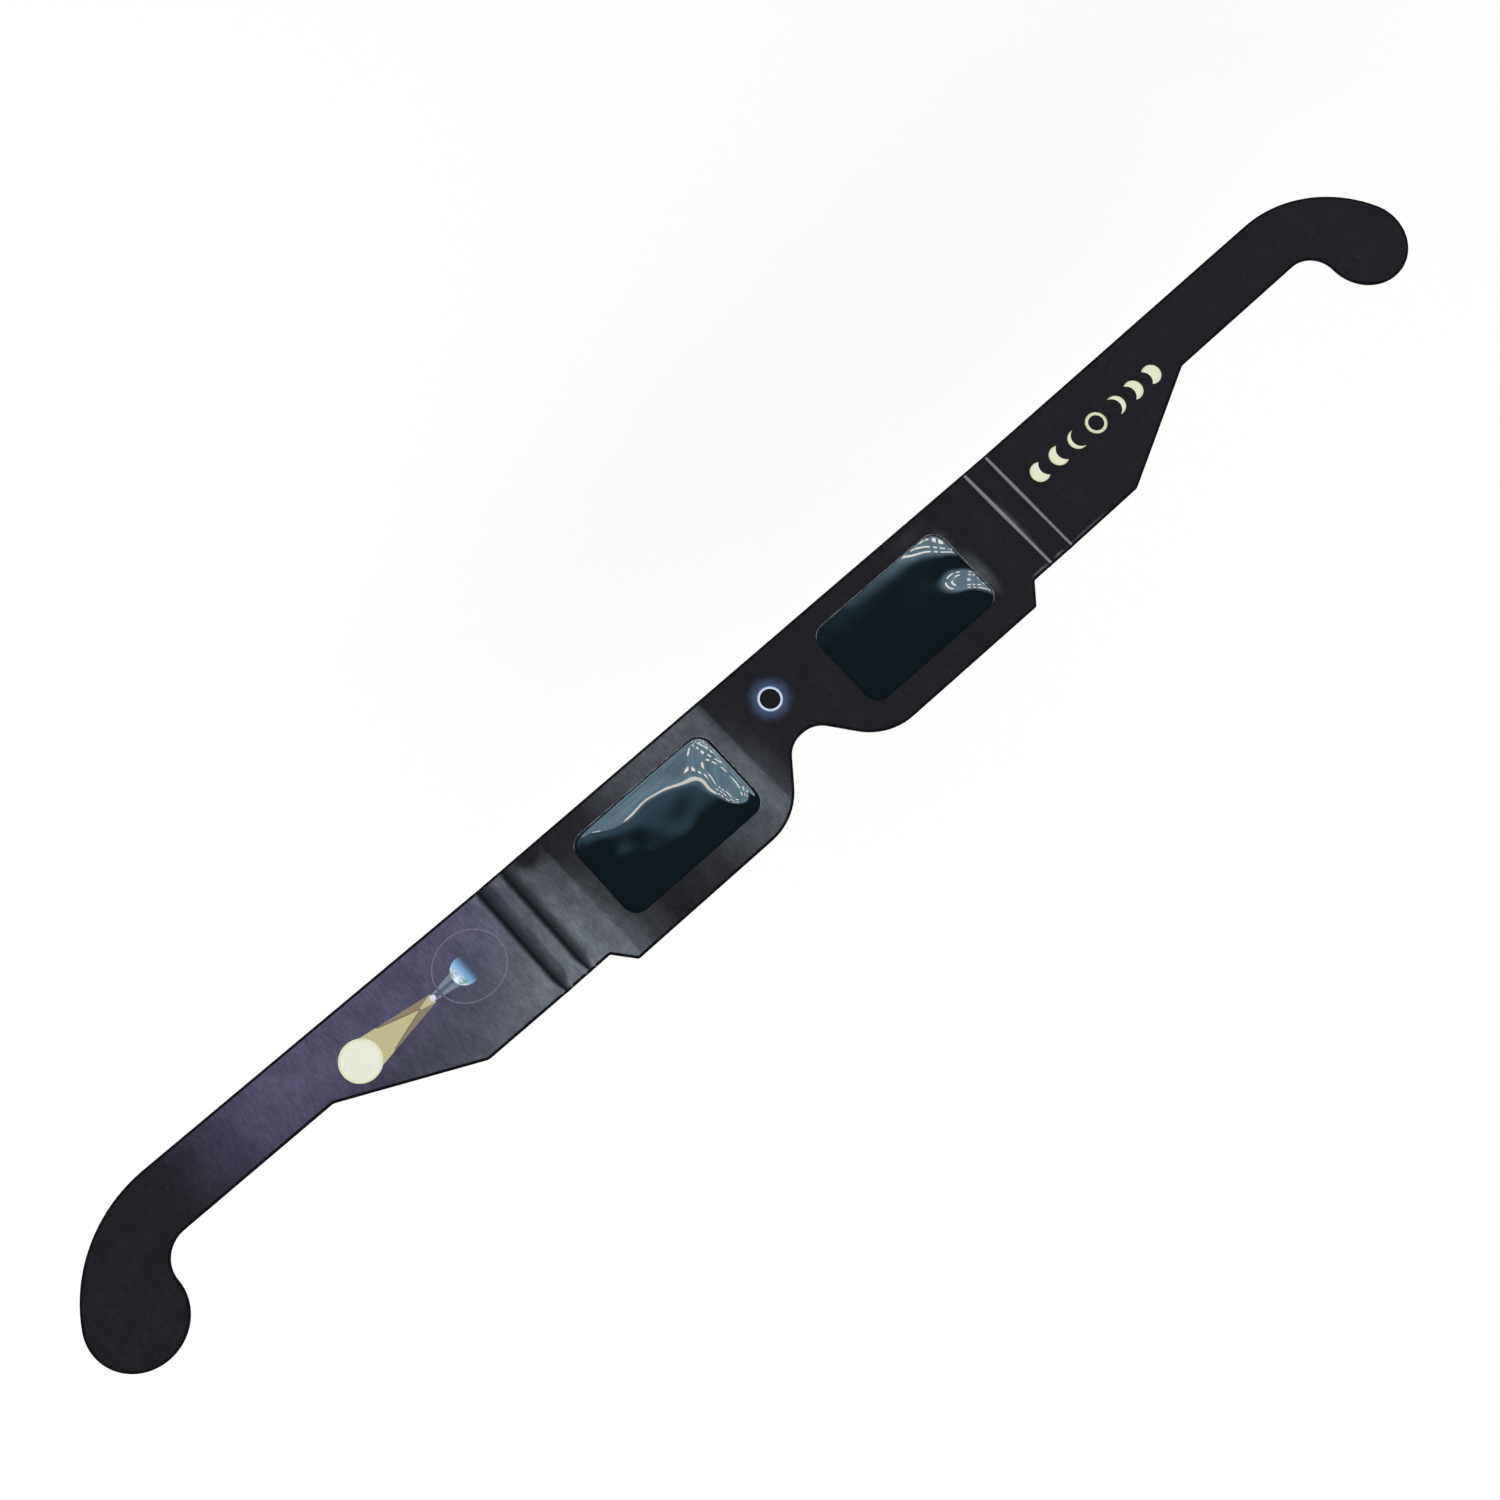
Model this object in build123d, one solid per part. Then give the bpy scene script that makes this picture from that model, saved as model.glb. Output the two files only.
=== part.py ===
from build123d import *
import os
from math import atan2, cos, radians, sin, sqrt, tan

os.makedirs("parts", exist_ok=True)

# Card eclipse glasses, opened out flat and lying on their back.
# X runs along the length, Y up to the brow, Z out of the printed front. Millimetres.
# The outlines are drawn with the brow line on y = 0, and every piece is moved to the
# middle of the whole shape when it is written.

# Stock
card_thickness = 0.45
film_thickness = 0.08
glue_thickness = 0.04

# Front: two lens panels and the bridge between them, measured down from the brow.
# The lands are the widths of card between one edge and the next, outwards from a window.
lens_drop = 32.0
window_inner_x = 15.5
window_width = 36.3
window_radius = 3.4
brow_land = 4.9
sill_land = 6.5
panel_land = 4.6
step_run = 3.8
step_rise = 4.5
step_radius = 0.8
crease_land = 4.9

# Nose notch: its slanting sides, rounded into the top and into the lower edge
notch_height = 12.6
notch_top_half_width = 3.2
notch_foot_half_width = 13.2
notch_top_round_share = 0.9
notch_foot_radius = 14.0

# Film, and the coats of glue that hold it between the two plies
film_overlap = 2.2
film_radius = 1.0
glue_window_margin = 0.7
glue_inset = 0.6

# Back patches, which double each lens panel
patch_inner_land = 3.9
patch_end_gap = 0.1
patch_inset = 0.35
patch_radius = 1.2
patch_window_margin = 0.4

# Creases: a groove pressed into the front, which raises a bead on the back
strip_width = 6.1
crease_width = 2.2
crease_depth = 0.32
bead_radius = 0.28
bead_clearance = 0.05

# Arms, measured from the outer crease and down from their own top edge
arm_rise_angle = 0.75
flare_start = 20.2
flare_end = 48.4
flare_radius = 2.0
stem_width = 14.1
hook_centre_x = 101.3
hook_drop = 31.2
hook_end_radius = 10.2
hook_brow_radius = 30.0
hook_throat_radius = 6.5

# How far a cut runs past the card
overrun = 1.0

# Levels of the glued stack, from the back up
patch_top = card_thickness
film_back = patch_top + glue_thickness
film_middle = film_back + film_thickness / 2
film_front = film_back + film_thickness
card_back = film_front + glue_thickness
card_front = card_back + card_thickness

# The front's edges, outwards from the middle, and its levels below the brow
window_outer_x = window_inner_x + window_width
window_centre_x = window_inner_x + window_width / 2
step_foot_x = window_outer_x + panel_land
step_top_x = step_foot_x + step_run
inner_crease_x = step_top_x + crease_land
outer_crease_x = inner_crease_x + strip_width
strip_drop = lens_drop - step_rise
window_height = lens_drop - brow_land - sill_land
window_centre_y = -brow_land - window_height / 2

# A patch's outer end stops where the rounding at the foot of the step begins
step_turn = atan2(step_rise, step_run)
step_foot_round = step_radius * tan(step_turn / 2)
patch_inner_x = window_inner_x - patch_inner_land
patch_outer_x = step_foot_x - step_foot_round - patch_inset - patch_end_gap

# The notch's top corners are rounded by a share of what the flat between them leaves
notch_run = notch_foot_half_width - notch_top_half_width
notch_turn = atan2(notch_height, notch_run)
notch_top_radius = notch_top_round_share * notch_top_half_width / tan(notch_turn / 2)

# Creases: the fold axis is the middle of the bead
bead_axis_z = card_front - crease_depth - bead_radius
crease_setback = bead_radius + bead_clearance
groove_radius = ((crease_width / 2) ** 2 + crease_depth**2) / (2 * crease_depth)

# The hook's end is a disc. The brow arc runs onto it from outside, the throat arc from the stem.
hook_centre_y = hook_end_radius - hook_drop
brow_reach = hook_brow_radius - hook_end_radius
brow_arc_x = hook_centre_x - sqrt(brow_reach**2 - (hook_centre_y + hook_brow_radius) ** 2)
throat_reach = hook_throat_radius + hook_end_radius
throat_y = -stem_width - hook_throat_radius
throat_x = hook_centre_x - sqrt(throat_reach**2 - (hook_centre_y - throat_y) ** 2)

# The arms rise a little towards their ends, so the top of the brow arc is the highest point
rise = radians(arm_rise_angle)
arm_top = brow_arc_x * sin(rise) + hook_brow_radius * (1 - cos(rise))
brow_y = (lens_drop - arm_top) / 2


def plate(face, bottom, top):
    """A sheet with the given outline, from one level to another."""
    return extrude(Pos(0, 0, bottom) * face, amount=top - bottom)


def write(part, name):
    """Move a piece so that the middle of the whole shape is at the origin, and save it."""
    export_step(Pos(0, brow_y, 0) * part, os.path.join("parts", name + ".step"))
    print(name, "volume", round(part.volume, 3))


def write_pair(part, name):
    """The right-hand piece as drawn, and its mirror image on the left."""
    write(part, "right_" + name)
    write(mirror(part, about=Plane.YZ), "left_" + name)


def arc_about(centre, radius, start, end):
    """The shorter arc about a centre from one point to another."""
    towards = (start - centre) + (end - centre)
    return ThreePointArc(start, centre + towards.normalized() * radius, end)


def window_face(margin):
    """The right lens window, larger all round by a margin."""
    width = window_width + 2 * margin
    height = window_height + 2 * margin
    opening = RectangleRounded(width, height, window_radius + margin)
    return Pos(window_centre_x, window_centre_y) * opening


def front_outline(end_x):
    """The die-cut outline between the inner creases, with the nose notch and the steps."""
    right_corners = [
        ((end_x, 0), 0),
        ((end_x, -strip_drop), 0),
        ((step_top_x, -strip_drop), step_radius),
        ((step_foot_x, -lens_drop), step_radius),
        ((notch_foot_half_width, -lens_drop), notch_foot_radius),
        ((notch_top_half_width, notch_height - lens_drop), notch_top_radius),
    ]
    left_corners = [((-x, y), radius) for (x, y), radius in reversed(right_corners)]
    corners = right_corners + left_corners
    points = [point for point, radius in corners]
    radii = [radius for point, radius in corners]
    return make_face(FilletPolyline(*points, radius=radii, close=True))


def groove(crease_x):
    """The shallow round trough that the scoring rule leaves across the card."""
    length = lens_drop + 2 * overrun
    centre_z = card_front + groove_radius - crease_depth
    trough = Rot(X=90) * Cylinder(groove_radius, length)
    return Pos(crease_x, -lens_drop / 2, centre_z) * trough


def front_card():
    """Both lens panels and the bridge, one ply, ending just short of the crease beads."""
    end_x = inner_crease_x - crease_setback
    windows = window_face(0) + mirror(window_face(0), about=Plane.YZ)
    card = plate(front_outline(end_x) - windows, card_back, card_front)
    return card - groove(inner_crease_x) - groove(-inner_crease_x)


def hinge_strip():
    """The narrow panel between the two creases."""
    inner_end = inner_crease_x + crease_setback
    outer_end = outer_crease_x - crease_setback
    middle = (inner_end + outer_end) / 2
    face = Pos(middle, -strip_drop / 2) * Rectangle(outer_end - inner_end, strip_drop)
    strip = plate(face, card_back, card_front)
    return strip - groove(inner_crease_x) - groove(outer_crease_x)


def crease(crease_x, strip_side):
    """One living hinge: the rolled bead, and the thinned web that joins it to the strip."""
    bead = Plane.XZ * Pos(crease_x, bead_axis_z) * Circle(bead_radius)
    web_middle = crease_x + strip_side * crease_setback / 2
    web_height = card_front - card_back
    web = Rectangle(crease_setback, web_height)
    web = Plane.XZ * Pos(web_middle, card_back + web_height / 2) * web
    return extrude(bead + web, amount=strip_drop) - groove(crease_x)


def arm_outline():
    """The arm from the outer crease to its hook, with its own top edge level."""
    disc_centre = Vector(hook_centre_x, hook_centre_y)
    brow_centre = Vector(brow_arc_x, -hook_brow_radius)
    throat_centre = Vector(throat_x, throat_y)
    brow_start = Vector(brow_arc_x, 0)
    brow_end = disc_centre + (disc_centre - brow_centre).normalized() * hook_end_radius
    throat_start = disc_centre + (throat_centre - disc_centre).normalized() * hook_end_radius
    throat_end = Vector(throat_x, -stem_width)
    hook_foot = disc_centre - Vector(0, hook_end_radius)
    lower_edge = FilletPolyline(
        throat_end,
        (flare_end, -stem_width),
        (flare_start, -strip_drop),
        (-overrun, -strip_drop),
        radius=flare_radius,
    )
    edges = [
        Line((-overrun, 0), brow_start),
        arc_about(brow_centre, hook_brow_radius, brow_start, brow_end),
        ThreePointArc(brow_end, hook_foot, throat_start),
        arc_about(throat_centre, hook_throat_radius, throat_start, throat_end),
        lower_edge,
        Line((-overrun, -strip_drop), (-overrun, 0)),
    ]
    return make_face(edges)


def temple_arm():
    """The arm, turned up by its rise and trimmed square beside the outer crease."""
    end_x = outer_crease_x + crease_setback
    arm = plate(arm_outline(), card_back, card_front)
    arm = Pos(outer_crease_x, 0) * Rot(Z=arm_rise_angle) * arm
    trim_width = crease_setback + 2 * overrun
    trim = Box(trim_width, lens_drop + 2 * overrun, card_front + 2 * overrun)
    trim = Pos(end_x - trim_width / 2, -lens_drop / 2, card_front / 2) * trim
    return arm - trim - groove(outer_crease_x)


def patch_outline(inset):
    """The front's outline, cut off at the patch's two ends and drawn in all round."""
    width = patch_outer_x - patch_inner_x + 2 * patch_inset
    middle = (patch_outer_x + patch_inner_x) / 2
    span = Pos(middle, -lens_drop / 2) * Rectangle(width, lens_drop)
    face = (front_outline(inner_crease_x) & span).face()
    sides = face.vertices().group_by(Axis.X)
    return offset(fillet(sides[0] + sides[-1], patch_radius + inset), amount=-inset)


def back_patch():
    """The second ply behind a lens panel. Its window is a little larger than the front's."""
    face = patch_outline(patch_inset) - window_face(patch_window_margin)
    return plate(face, 0, patch_top)


def film_face():
    """The film reaches past its window on every side."""
    width = window_width + 2 * film_overlap
    height = window_height + 2 * film_overlap
    return Pos(window_centre_x, window_centre_y) * RectangleRounded(width, height, film_radius)


def lens_film():
    """The dark solar film, held between the plies."""
    return plate(film_face(), film_back, film_front)


def glue_coat(bottom, top):
    """One ply's coat of glue: pressed flat on the film, and meeting the other coat around it."""
    outline = patch_outline(patch_inset + glue_inset) - window_face(glue_window_margin)
    return plate(outline, bottom, top) - lens_film()


write(front_card(), "front_card")
write_pair(hinge_strip(), "hinge_strip")
write_pair(crease(inner_crease_x, 1), "inner_crease")
write_pair(crease(outer_crease_x, -1), "outer_crease")
write_pair(temple_arm(), "temple_arm")
write_pair(back_patch(), "back_patch")
write_pair(lens_film(), "lens_film")
write_pair(glue_coat(film_middle, card_back), "front_glue")
write_pair(glue_coat(patch_top, film_middle), "back_glue")
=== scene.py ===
"""Dresses the card eclipse glasses: one printed blank with four creases, two dark films and their plies.

Sizes are in millimetres, in the frame of the solids: X along the blank, Y up to the brow, Z out of the
printed front. Meshes are made in metres.
"""

import logging
import math
from collections.abc import Callable, Iterable, Mapping
from dataclasses import dataclass
from enum import Enum

import bpy
import numpy as np
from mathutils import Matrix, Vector


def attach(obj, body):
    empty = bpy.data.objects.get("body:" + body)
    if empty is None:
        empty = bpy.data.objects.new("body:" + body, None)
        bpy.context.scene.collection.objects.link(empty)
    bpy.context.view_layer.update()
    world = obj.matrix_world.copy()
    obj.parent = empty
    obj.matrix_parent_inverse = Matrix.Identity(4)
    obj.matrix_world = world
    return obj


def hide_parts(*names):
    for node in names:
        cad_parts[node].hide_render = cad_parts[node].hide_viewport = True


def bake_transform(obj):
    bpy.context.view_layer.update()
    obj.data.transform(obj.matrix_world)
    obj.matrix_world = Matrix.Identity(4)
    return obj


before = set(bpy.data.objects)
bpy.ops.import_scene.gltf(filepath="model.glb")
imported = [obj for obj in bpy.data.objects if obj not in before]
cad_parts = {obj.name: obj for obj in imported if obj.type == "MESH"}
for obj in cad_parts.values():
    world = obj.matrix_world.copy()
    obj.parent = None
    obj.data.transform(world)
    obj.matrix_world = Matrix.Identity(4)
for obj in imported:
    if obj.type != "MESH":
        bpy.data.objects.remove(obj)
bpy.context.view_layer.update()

MM = 0.001

# Where the photograph was taken from, in mm, how the camera was turned, and how the ceiling's bank lies
CAMERA_PLACE = (-96.6509, -52.8052, 401.8727)
CAMERA_TURN = (0.2378908, -0.0688744, -0.7385939)
BANK_TURN = math.radians(51.5)

# The middle of the printed ring on the bridge, in mm
RING_MIDDLE = (-0.08, 5.95)

# Points this close are one, in mm: in the solids as they come, and after a cut
LOOSE_POINTS = 0.0005
CUT_POINTS = 0.0001

# Faces of the solids that meet at less than this are one flat face
FLAT_ANGLE = math.radians(0.05)

LOG = logging.getLogger("eclipse_glasses")

Pair = tuple[float, float]
Triple = tuple[float, float, float]
Colour = tuple[float, float, float, float]
NodeValue = float | tuple | bpy.types.NodeSocket
Sockets = dict[str, NodeValue]
PlaceTest = Callable[[Vector, Vector], bool]

# A smooth change: where it starts, where it ends, and the results before and beyond, 0 and 1 where left out
Change = tuple[float, ...]
# Pairs of a place in mm and a strength there
Stops = tuple[Pair, ...]
# For some levels in mm, places along X in mm and the two tangents seen mirrored there
Sights = dict[float, tuple[Triple, ...]]


class Side(Enum):
    """The two halves of the blank, as the print is seen. The value is the sign of X there."""

    LEFT = -1
    RIGHT = 1

    @property
    def word(self) -> str:
        """The side's name, as the solids' names begin."""
        return self.name.lower()


class Fold(Enum):
    """The two creases of a side. The value is the crease's distance from the middle, in mm."""

    INNER = 65.1
    OUTER = 71.2

    @property
    def word(self) -> str:
        """The crease's name, as it stands in the solids' names."""
        return self.name.lower()


class Place(Enum):
    """What a pattern is laid out by."""

    RESTING = "Object"
    CARRIED = "place_on_card"


# Shaping tools


def close_edit() -> None:
    """Leaves edit mode."""
    bpy.ops.object.mode_set(mode="OBJECT")


def activate(piece: bpy.types.Object) -> None:
    """Makes one piece the only selected object, and the active one.

    Args:
        piece: The piece to work on.
    """
    bpy.ops.object.select_all(action="DESELECT")
    piece.select_set(True)
    bpy.context.view_layer.objects.active = piece


def edit_all(piece: bpy.types.Object) -> None:
    """Opens a piece in edit mode, by its faces, with all of it selected.

    Args:
        piece: The piece to edit.
    """
    activate(piece)
    bpy.ops.object.mode_set(mode="EDIT")
    bpy.ops.mesh.select_mode(type="FACE")
    bpy.ops.mesh.select_all(action="SELECT")


def pick(piece: bpy.types.Object, test: PlaceTest) -> None:
    """Opens a piece in edit mode with the faces selected that pass a test.

    Args:
        piece: The piece to edit.
        test: Says whether a face is wanted, from its middle in mm and its normal.
    """
    edit_all(piece)
    bpy.ops.mesh.select_all(action="DESELECT")
    close_edit()
    for face in piece.data.polygons:
        face.select = test(face.center / MM, face.normal)
    bpy.ops.object.mode_set(mode="EDIT")


def rename(piece: bpy.types.Object, name: str) -> bpy.types.Object:
    """Names a piece and its mesh.

    Args:
        piece: The piece.
        name: Its new name.

    Returns:
        The same piece.
    """
    piece.name = name
    piece.data.name = name
    return piece


def new_piece(name: str, add: Callable[..., object], **sizes: float) -> bpy.types.Object:
    """Adds a simple mesh, and leaves it open in edit mode with all of it selected.

    Args:
        name: Its name.
        add: The operator that adds it.
        sizes: What the operator is told.

    Returns:
        The new piece.
    """
    bpy.ops.object.select_all(action="DESELECT")
    add(**sizes)
    piece = rename(bpy.context.active_object, name)
    edit_all(piece)
    return piece


def extrude(height: float) -> None:
    """Thickens what is selected along Z, by a height in mm."""
    bpy.ops.mesh.extrude_region_move(TRANSFORM_OT_translate={"value": (0, 0, height * MM)})


def move(x: float, y: float, z: float) -> None:
    """Moves what is selected, by distances in mm."""
    bpy.ops.transform.translate(value=(x * MM, y * MM, z * MM))


def apply_modifier(piece: bpy.types.Object, kind: str, **settings: object) -> None:
    """Adds a modifier and applies it.

    Args:
        piece: The piece that gets it.
        kind: The modifier's type.
        settings: What is set on it.
    """
    activate(piece)
    modifier = piece.modifiers.new(kind.lower(), kind)
    for name, value in settings.items():
        setattr(modifier, name, value)
    bpy.ops.object.modifier_apply(modifier=modifier.name)


def copy_of_node(node: str, name: str) -> bpy.types.Object:
    """Copies a solid's mesh and joins its loose triangles into whole faces.

    Args:
        node: The solid's name.
        name: The name of the new piece.

    Returns:
        The new piece, with clean flat faces.
    """
    piece = bpy.data.objects.new(name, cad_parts[node].data.copy())
    bpy.context.scene.collection.objects.link(piece)
    piece.data.materials.clear()
    rename(piece, name)
    edit_all(piece)
    bpy.ops.mesh.remove_doubles(threshold=LOOSE_POINTS * MM)
    bpy.ops.mesh.dissolve_limited(angle_limit=FLAT_ANGLE)
    close_edit()
    return piece


def cut_across(piece: bpy.types.Object, x: float, clear: int = 0) -> None:
    """Cuts a piece straight across its length.

    Args:
        piece: The piece to cut.
        x: Where the cut is, in mm.
        clear: 1 removes what is on the +X side, -1 on the -X side, 0 keeps both.
    """
    edit_all(piece)
    bpy.ops.mesh.bisect(
        plane_co=(x * MM, 0, 0),
        plane_no=(1, 0, 0),
        use_fill=clear != 0,
        clear_outer=clear > 0,
        clear_inner=clear < 0,
        threshold=CUT_POINTS * MM,
    )
    close_edit()


def crush_edges(piece: bpy.types.Object, width: float, joins: Iterable[float] = ()) -> None:
    """Rounds the sharp edges of a die-cut sheet, except where it runs on into the next sheet.

    Args:
        piece: The sheet.
        width: How wide the rounding is, in mm.
        joins: Where the sheet runs on, in mm along X.
    """
    sharp_angle, on_join = math.radians(40), 0.01
    mesh = piece.data
    faces_of = {}
    for face in mesh.polygons:
        for key in face.edge_keys:
            faces_of.setdefault(key, []).append(face.normal.copy())
    weights = []
    for edge in mesh.edges:
        normals = faces_of.get(edge.key, [])
        xs = [mesh.vertices[i].co.x / MM for i in edge.vertices]
        joined = any(all(abs(x - join) < on_join for x in xs) for join in joins)
        sharp = len(normals) == 2 and normals[0].angle(normals[1], 0) > sharp_angle
        weights.append(1.0 if sharp and not joined else 0.0)
    mesh.attributes.new("bevel_weight_edge", "FLOAT", "EDGE").data.foreach_set("value", weights)
    apply_modifier(piece, "BEVEL", width=width * MM, segments=2, limit_method="WEIGHT", profile=0.5)


def smooth(piece: bpy.types.Object, angle: float = 30.0) -> None:
    """Shades a piece smooth where its faces meet at less than an angle in degrees."""
    activate(piece)
    bpy.ops.object.shade_smooth_by_angle(angle=math.radians(angle))


def outward(piece: bpy.types.Object) -> None:
    """Joins doubled points of a closed shell, and turns its faces outwards.

    Args:
        piece: The shell.
    """
    edit_all(piece)
    bpy.ops.mesh.remove_doubles(threshold=CUT_POINTS * MM)
    bpy.ops.mesh.normals_make_consistent(inside=False)
    close_edit()


def points_mm(piece: bpy.types.Object) -> np.ndarray:
    """The places of a piece's points.

    Args:
        piece: The piece.

    Returns:
        One row for each point, in mm.
    """
    flat = np.empty(len(piece.data.vertices) * 3, np.float32)
    piece.data.vertices.foreach_get("co", flat)
    return flat.reshape(-1, 3).astype(float) / MM


def place_points(piece: bpy.types.Object, points: np.ndarray) -> None:
    """Puts a piece's points at new places, one row for each, in mm."""
    piece.data.vertices.foreach_set("co", (points * MM).astype(np.float32).ravel())
    piece.data.update()


def ramp(value: np.ndarray, low: float, high: float) -> np.ndarray:
    """A smooth step of a value, from 0 at the low one to 1 at the high one."""
    share = np.clip((value - low) / (high - low), 0, 1)
    return share * share * (3 - 2 * share)


# Finishes


def linear(code: str) -> Colour:
    """Turns an sRGB colour, as #rrggbb, to the linear one that shaders take.

    Args:
        code: The colour.

    Returns:
        Red, green, blue and a full alpha.
    """
    values = [int(code[i : i + 2], 16) / 255 for i in (1, 3, 5)]
    straight = [v / 12.92 if v <= 0.04045 else ((v + 0.055) / 1.055) ** 2.4 for v in values]
    return (*straight, 1.0)


def add_node(
    tree: bpy.types.NodeTree,
    kind: str,
    feeds: Mapping[str | int, NodeValue] | None = None,
    **settings: object,
) -> bpy.types.Node:
    """Adds a shader node with its settings, values and links.

    Args:
        tree: The node tree.
        kind: The node's type.
        feeds: For each input, by name or place, a value or the output that feeds it.
        settings: What is set on the node itself.

    Returns:
        The new node.
    """
    node = tree.nodes.new(kind)
    for name, value in settings.items():
        setattr(node, name, value)
    for key, value in (feeds or {}).items():
        if isinstance(value, bpy.types.NodeSocket):
            tree.links.new(value, node.inputs[key])
        else:
            node.inputs[key].default_value = value
    return node


class FinishBench:
    """A new material's node tree, with the few steps that every finish here is put together from."""

    def __init__(self, name: str, place: Place = Place.RESTING) -> None:
        """Starts a material whose patterns are laid out in mm.

        Args:
            name: The material's name.
            place: What the patterns are laid out by.
        """
        self.material = bpy.data.materials.new(name)
        self.material.use_nodes = True
        self.tree = self.material.node_tree
        if place is Place.RESTING:
            source = add_node(self.tree, "ShaderNodeTexCoord").outputs["Object"]
        else:
            carried = add_node(self.tree, "ShaderNodeAttribute", attribute_name=place.value)
            source = carried.outputs["Vector"]
        scaled = add_node(self.tree, "ShaderNodeMapping", {"Vector": source, "Scale": (1 / MM,) * 3})
        self.place = scaled.outputs["Vector"]
        self.x, self.y, self.z = add_node(self.tree, "ShaderNodeSeparateXYZ", {0: self.place}).outputs

    def maths(self, operation: str, *values: NodeValue, clamp: bool = False) -> bpy.types.NodeSocket:
        """One step of arithmetic.

        Args:
            operation: The operation's name.
            values: What it works on.
            clamp: Whether the result is kept from 0 to 1.

        Returns:
            The result.
        """
        node = add_node(
            self.tree, "ShaderNodeMath", dict(enumerate(values)), operation=operation, use_clamp=clamp
        )
        return node.outputs[0]

    def step(
        self, value: NodeValue, start: float, end: float, low: float = 0.0, high: float = 1.0
    ) -> bpy.types.NodeSocket:
        """A smooth change that follows a value.

        Args:
            value: What it follows.
            start: Where the change begins.
            end: Where it ends.
            low: The result before it.
            high: The result beyond it.

        Returns:
            The result.
        """
        feeds = {"Value": value, "From Min": start, "From Max": end, "To Min": low, "To Max": high}
        node = add_node(self.tree, "ShaderNodeMapRange", feeds, interpolation_type="SMOOTHSTEP")
        return node.outputs["Result"]

    def levels(self, value: NodeValue, stops: Stops) -> bpy.types.NodeSocket:
        """A strength that runs smoothly through the given stops of a value.

        Args:
            value: What it follows, in mm.
            stops: The places and the strengths there.

        Returns:
            The strength.
        """
        low, high = stops[0][0], stops[-1][0]
        feeds = {"Value": value, "From Min": low, "From Max": high, "To Min": 0.0, "To Max": 1.0}
        share = add_node(self.tree, "ShaderNodeMapRange", feeds)
        node = add_node(self.tree, "ShaderNodeValToRGB", {"Fac": share.outputs["Result"]})
        node.color_ramp.interpolation = "EASE"
        elements = node.color_ramp.elements
        while len(elements) < len(stops):
            elements.new(0.5)
        for element, (at, strength) in zip(elements, stops):
            element.position = (at - low) / (high - low)
            element.color = (strength, strength, strength, 1)
        return node.outputs["Color"]

    def grain(
        self, spacing: Triple, detail: float = 2.0, roughness: float = 0.5, seed: float = 0.0
    ) -> bpy.types.NodeSocket:
        """Noise whose patches are about as large as the given spacing.

        Args:
            spacing: The size of a patch along X, Y and Z, in mm.
            detail: How many finer layers it has.
            roughness: How strong the finer layers are.
            seed: Moves it elsewhere, so that two patterns differ.

        Returns:
            A value from 0 to 1, about 0.5 on average.
        """
        scale = tuple(1 / size for size in spacing)
        feeds = {"Vector": self.place, "Scale": scale, "Location": (seed, seed * 0.7, seed * 0.3)}
        mapped = add_node(self.tree, "ShaderNodeMapping", feeds)
        feeds = {"Vector": mapped.outputs[0], "Scale": 1.0, "Detail": detail, "Roughness": roughness}
        return add_node(self.tree, "ShaderNodeTexNoise", feeds).outputs["Fac"]

    def away_from(self, middle: Pair, reach: Pair = (1.0, 1.0)) -> bpy.types.NodeSocket:
        """How far a place lies from a middle.

        Args:
            middle: The middle along X and Y, in mm.
            reach: What counts as 1 along X and Y, in mm.

        Returns:
            The distance, in shares of the reach.
        """
        squares = (
            self.maths("POWER", self.maths("DIVIDE", self.maths("SUBTRACT", place, start), size), 2.0)
            for place, start, size in zip((self.x, self.y), middle, reach)
        )
        return self.maths("SQRT", self.maths("ADD", *squares))

    def blend(self, share: NodeValue, first: NodeValue, second: NodeValue) -> bpy.types.NodeSocket:
        """Mixes two colours, by the share of the second one."""
        feeds = {0: share, 6: first, 7: second}
        return add_node(self.tree, "ShaderNodeMix", feeds, data_type="RGBA").outputs[2]

    def scaled(self, colour: NodeValue, factor: NodeValue) -> bpy.types.NodeSocket:
        """Makes a colour lighter or darker, by a factor."""
        start = colour if isinstance(colour, bpy.types.NodeSocket) else colour[:3]
        feeds = {0: start, "Scale": factor}
        return add_node(self.tree, "ShaderNodeVectorMath", feeds, operation="SCALE").outputs["Vector"]

    def relief(
        self, height: NodeValue, depth: float, under: NodeValue | None = None
    ) -> bpy.types.NodeSocket:
        """Turns a height from 0 to 1 into fine relief.

        Args:
            height: The height.
            depth: What a height of 1 is, in mm.
            under: Relief that this lies on.

        Returns:
            The bent normal.
        """
        feeds: dict[str | int, NodeValue] = {"Height": height, "Distance": depth * MM, "Strength": 1.0}
        if under is not None:
            feeds["Normal"] = under
        return add_node(self.tree, "ShaderNodeBump", feeds).outputs["Normal"]

    def feed(self, **sockets: NodeValue) -> bpy.types.Material:
        """Feeds the shader, naming its inputs with _ for a space.

        Args:
            sockets: The value or output for each input.

        Returns:
            The finished material.
        """
        shader = self.tree.nodes["Principled BSDF"]
        for name, value in sockets.items():
            socket = shader.inputs[name.replace("_", " ")]
            if isinstance(value, bpy.types.NodeSocket):
                self.tree.links.new(value, socket)
            else:
                socket.default_value = value
        return self.material


class Finish:
    """What every finish shares: it makes a material from the pattern that it lays on a bench."""

    def made(self, name: str, place: Place = Place.RESTING) -> bpy.types.Material:
        """Makes the material.

        Args:
            name: Its name.
            place: What its pattern is laid out by.

        Returns:
            The material.
        """
        bench = FinishBench(name, place)
        return bench.feed(**self.pattern(bench))

    def pattern(self, bench: FinishBench) -> Sockets:
        """Lays the pattern on a bench, which each finish does in its own way."""
        raise NotImplementedError


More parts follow.
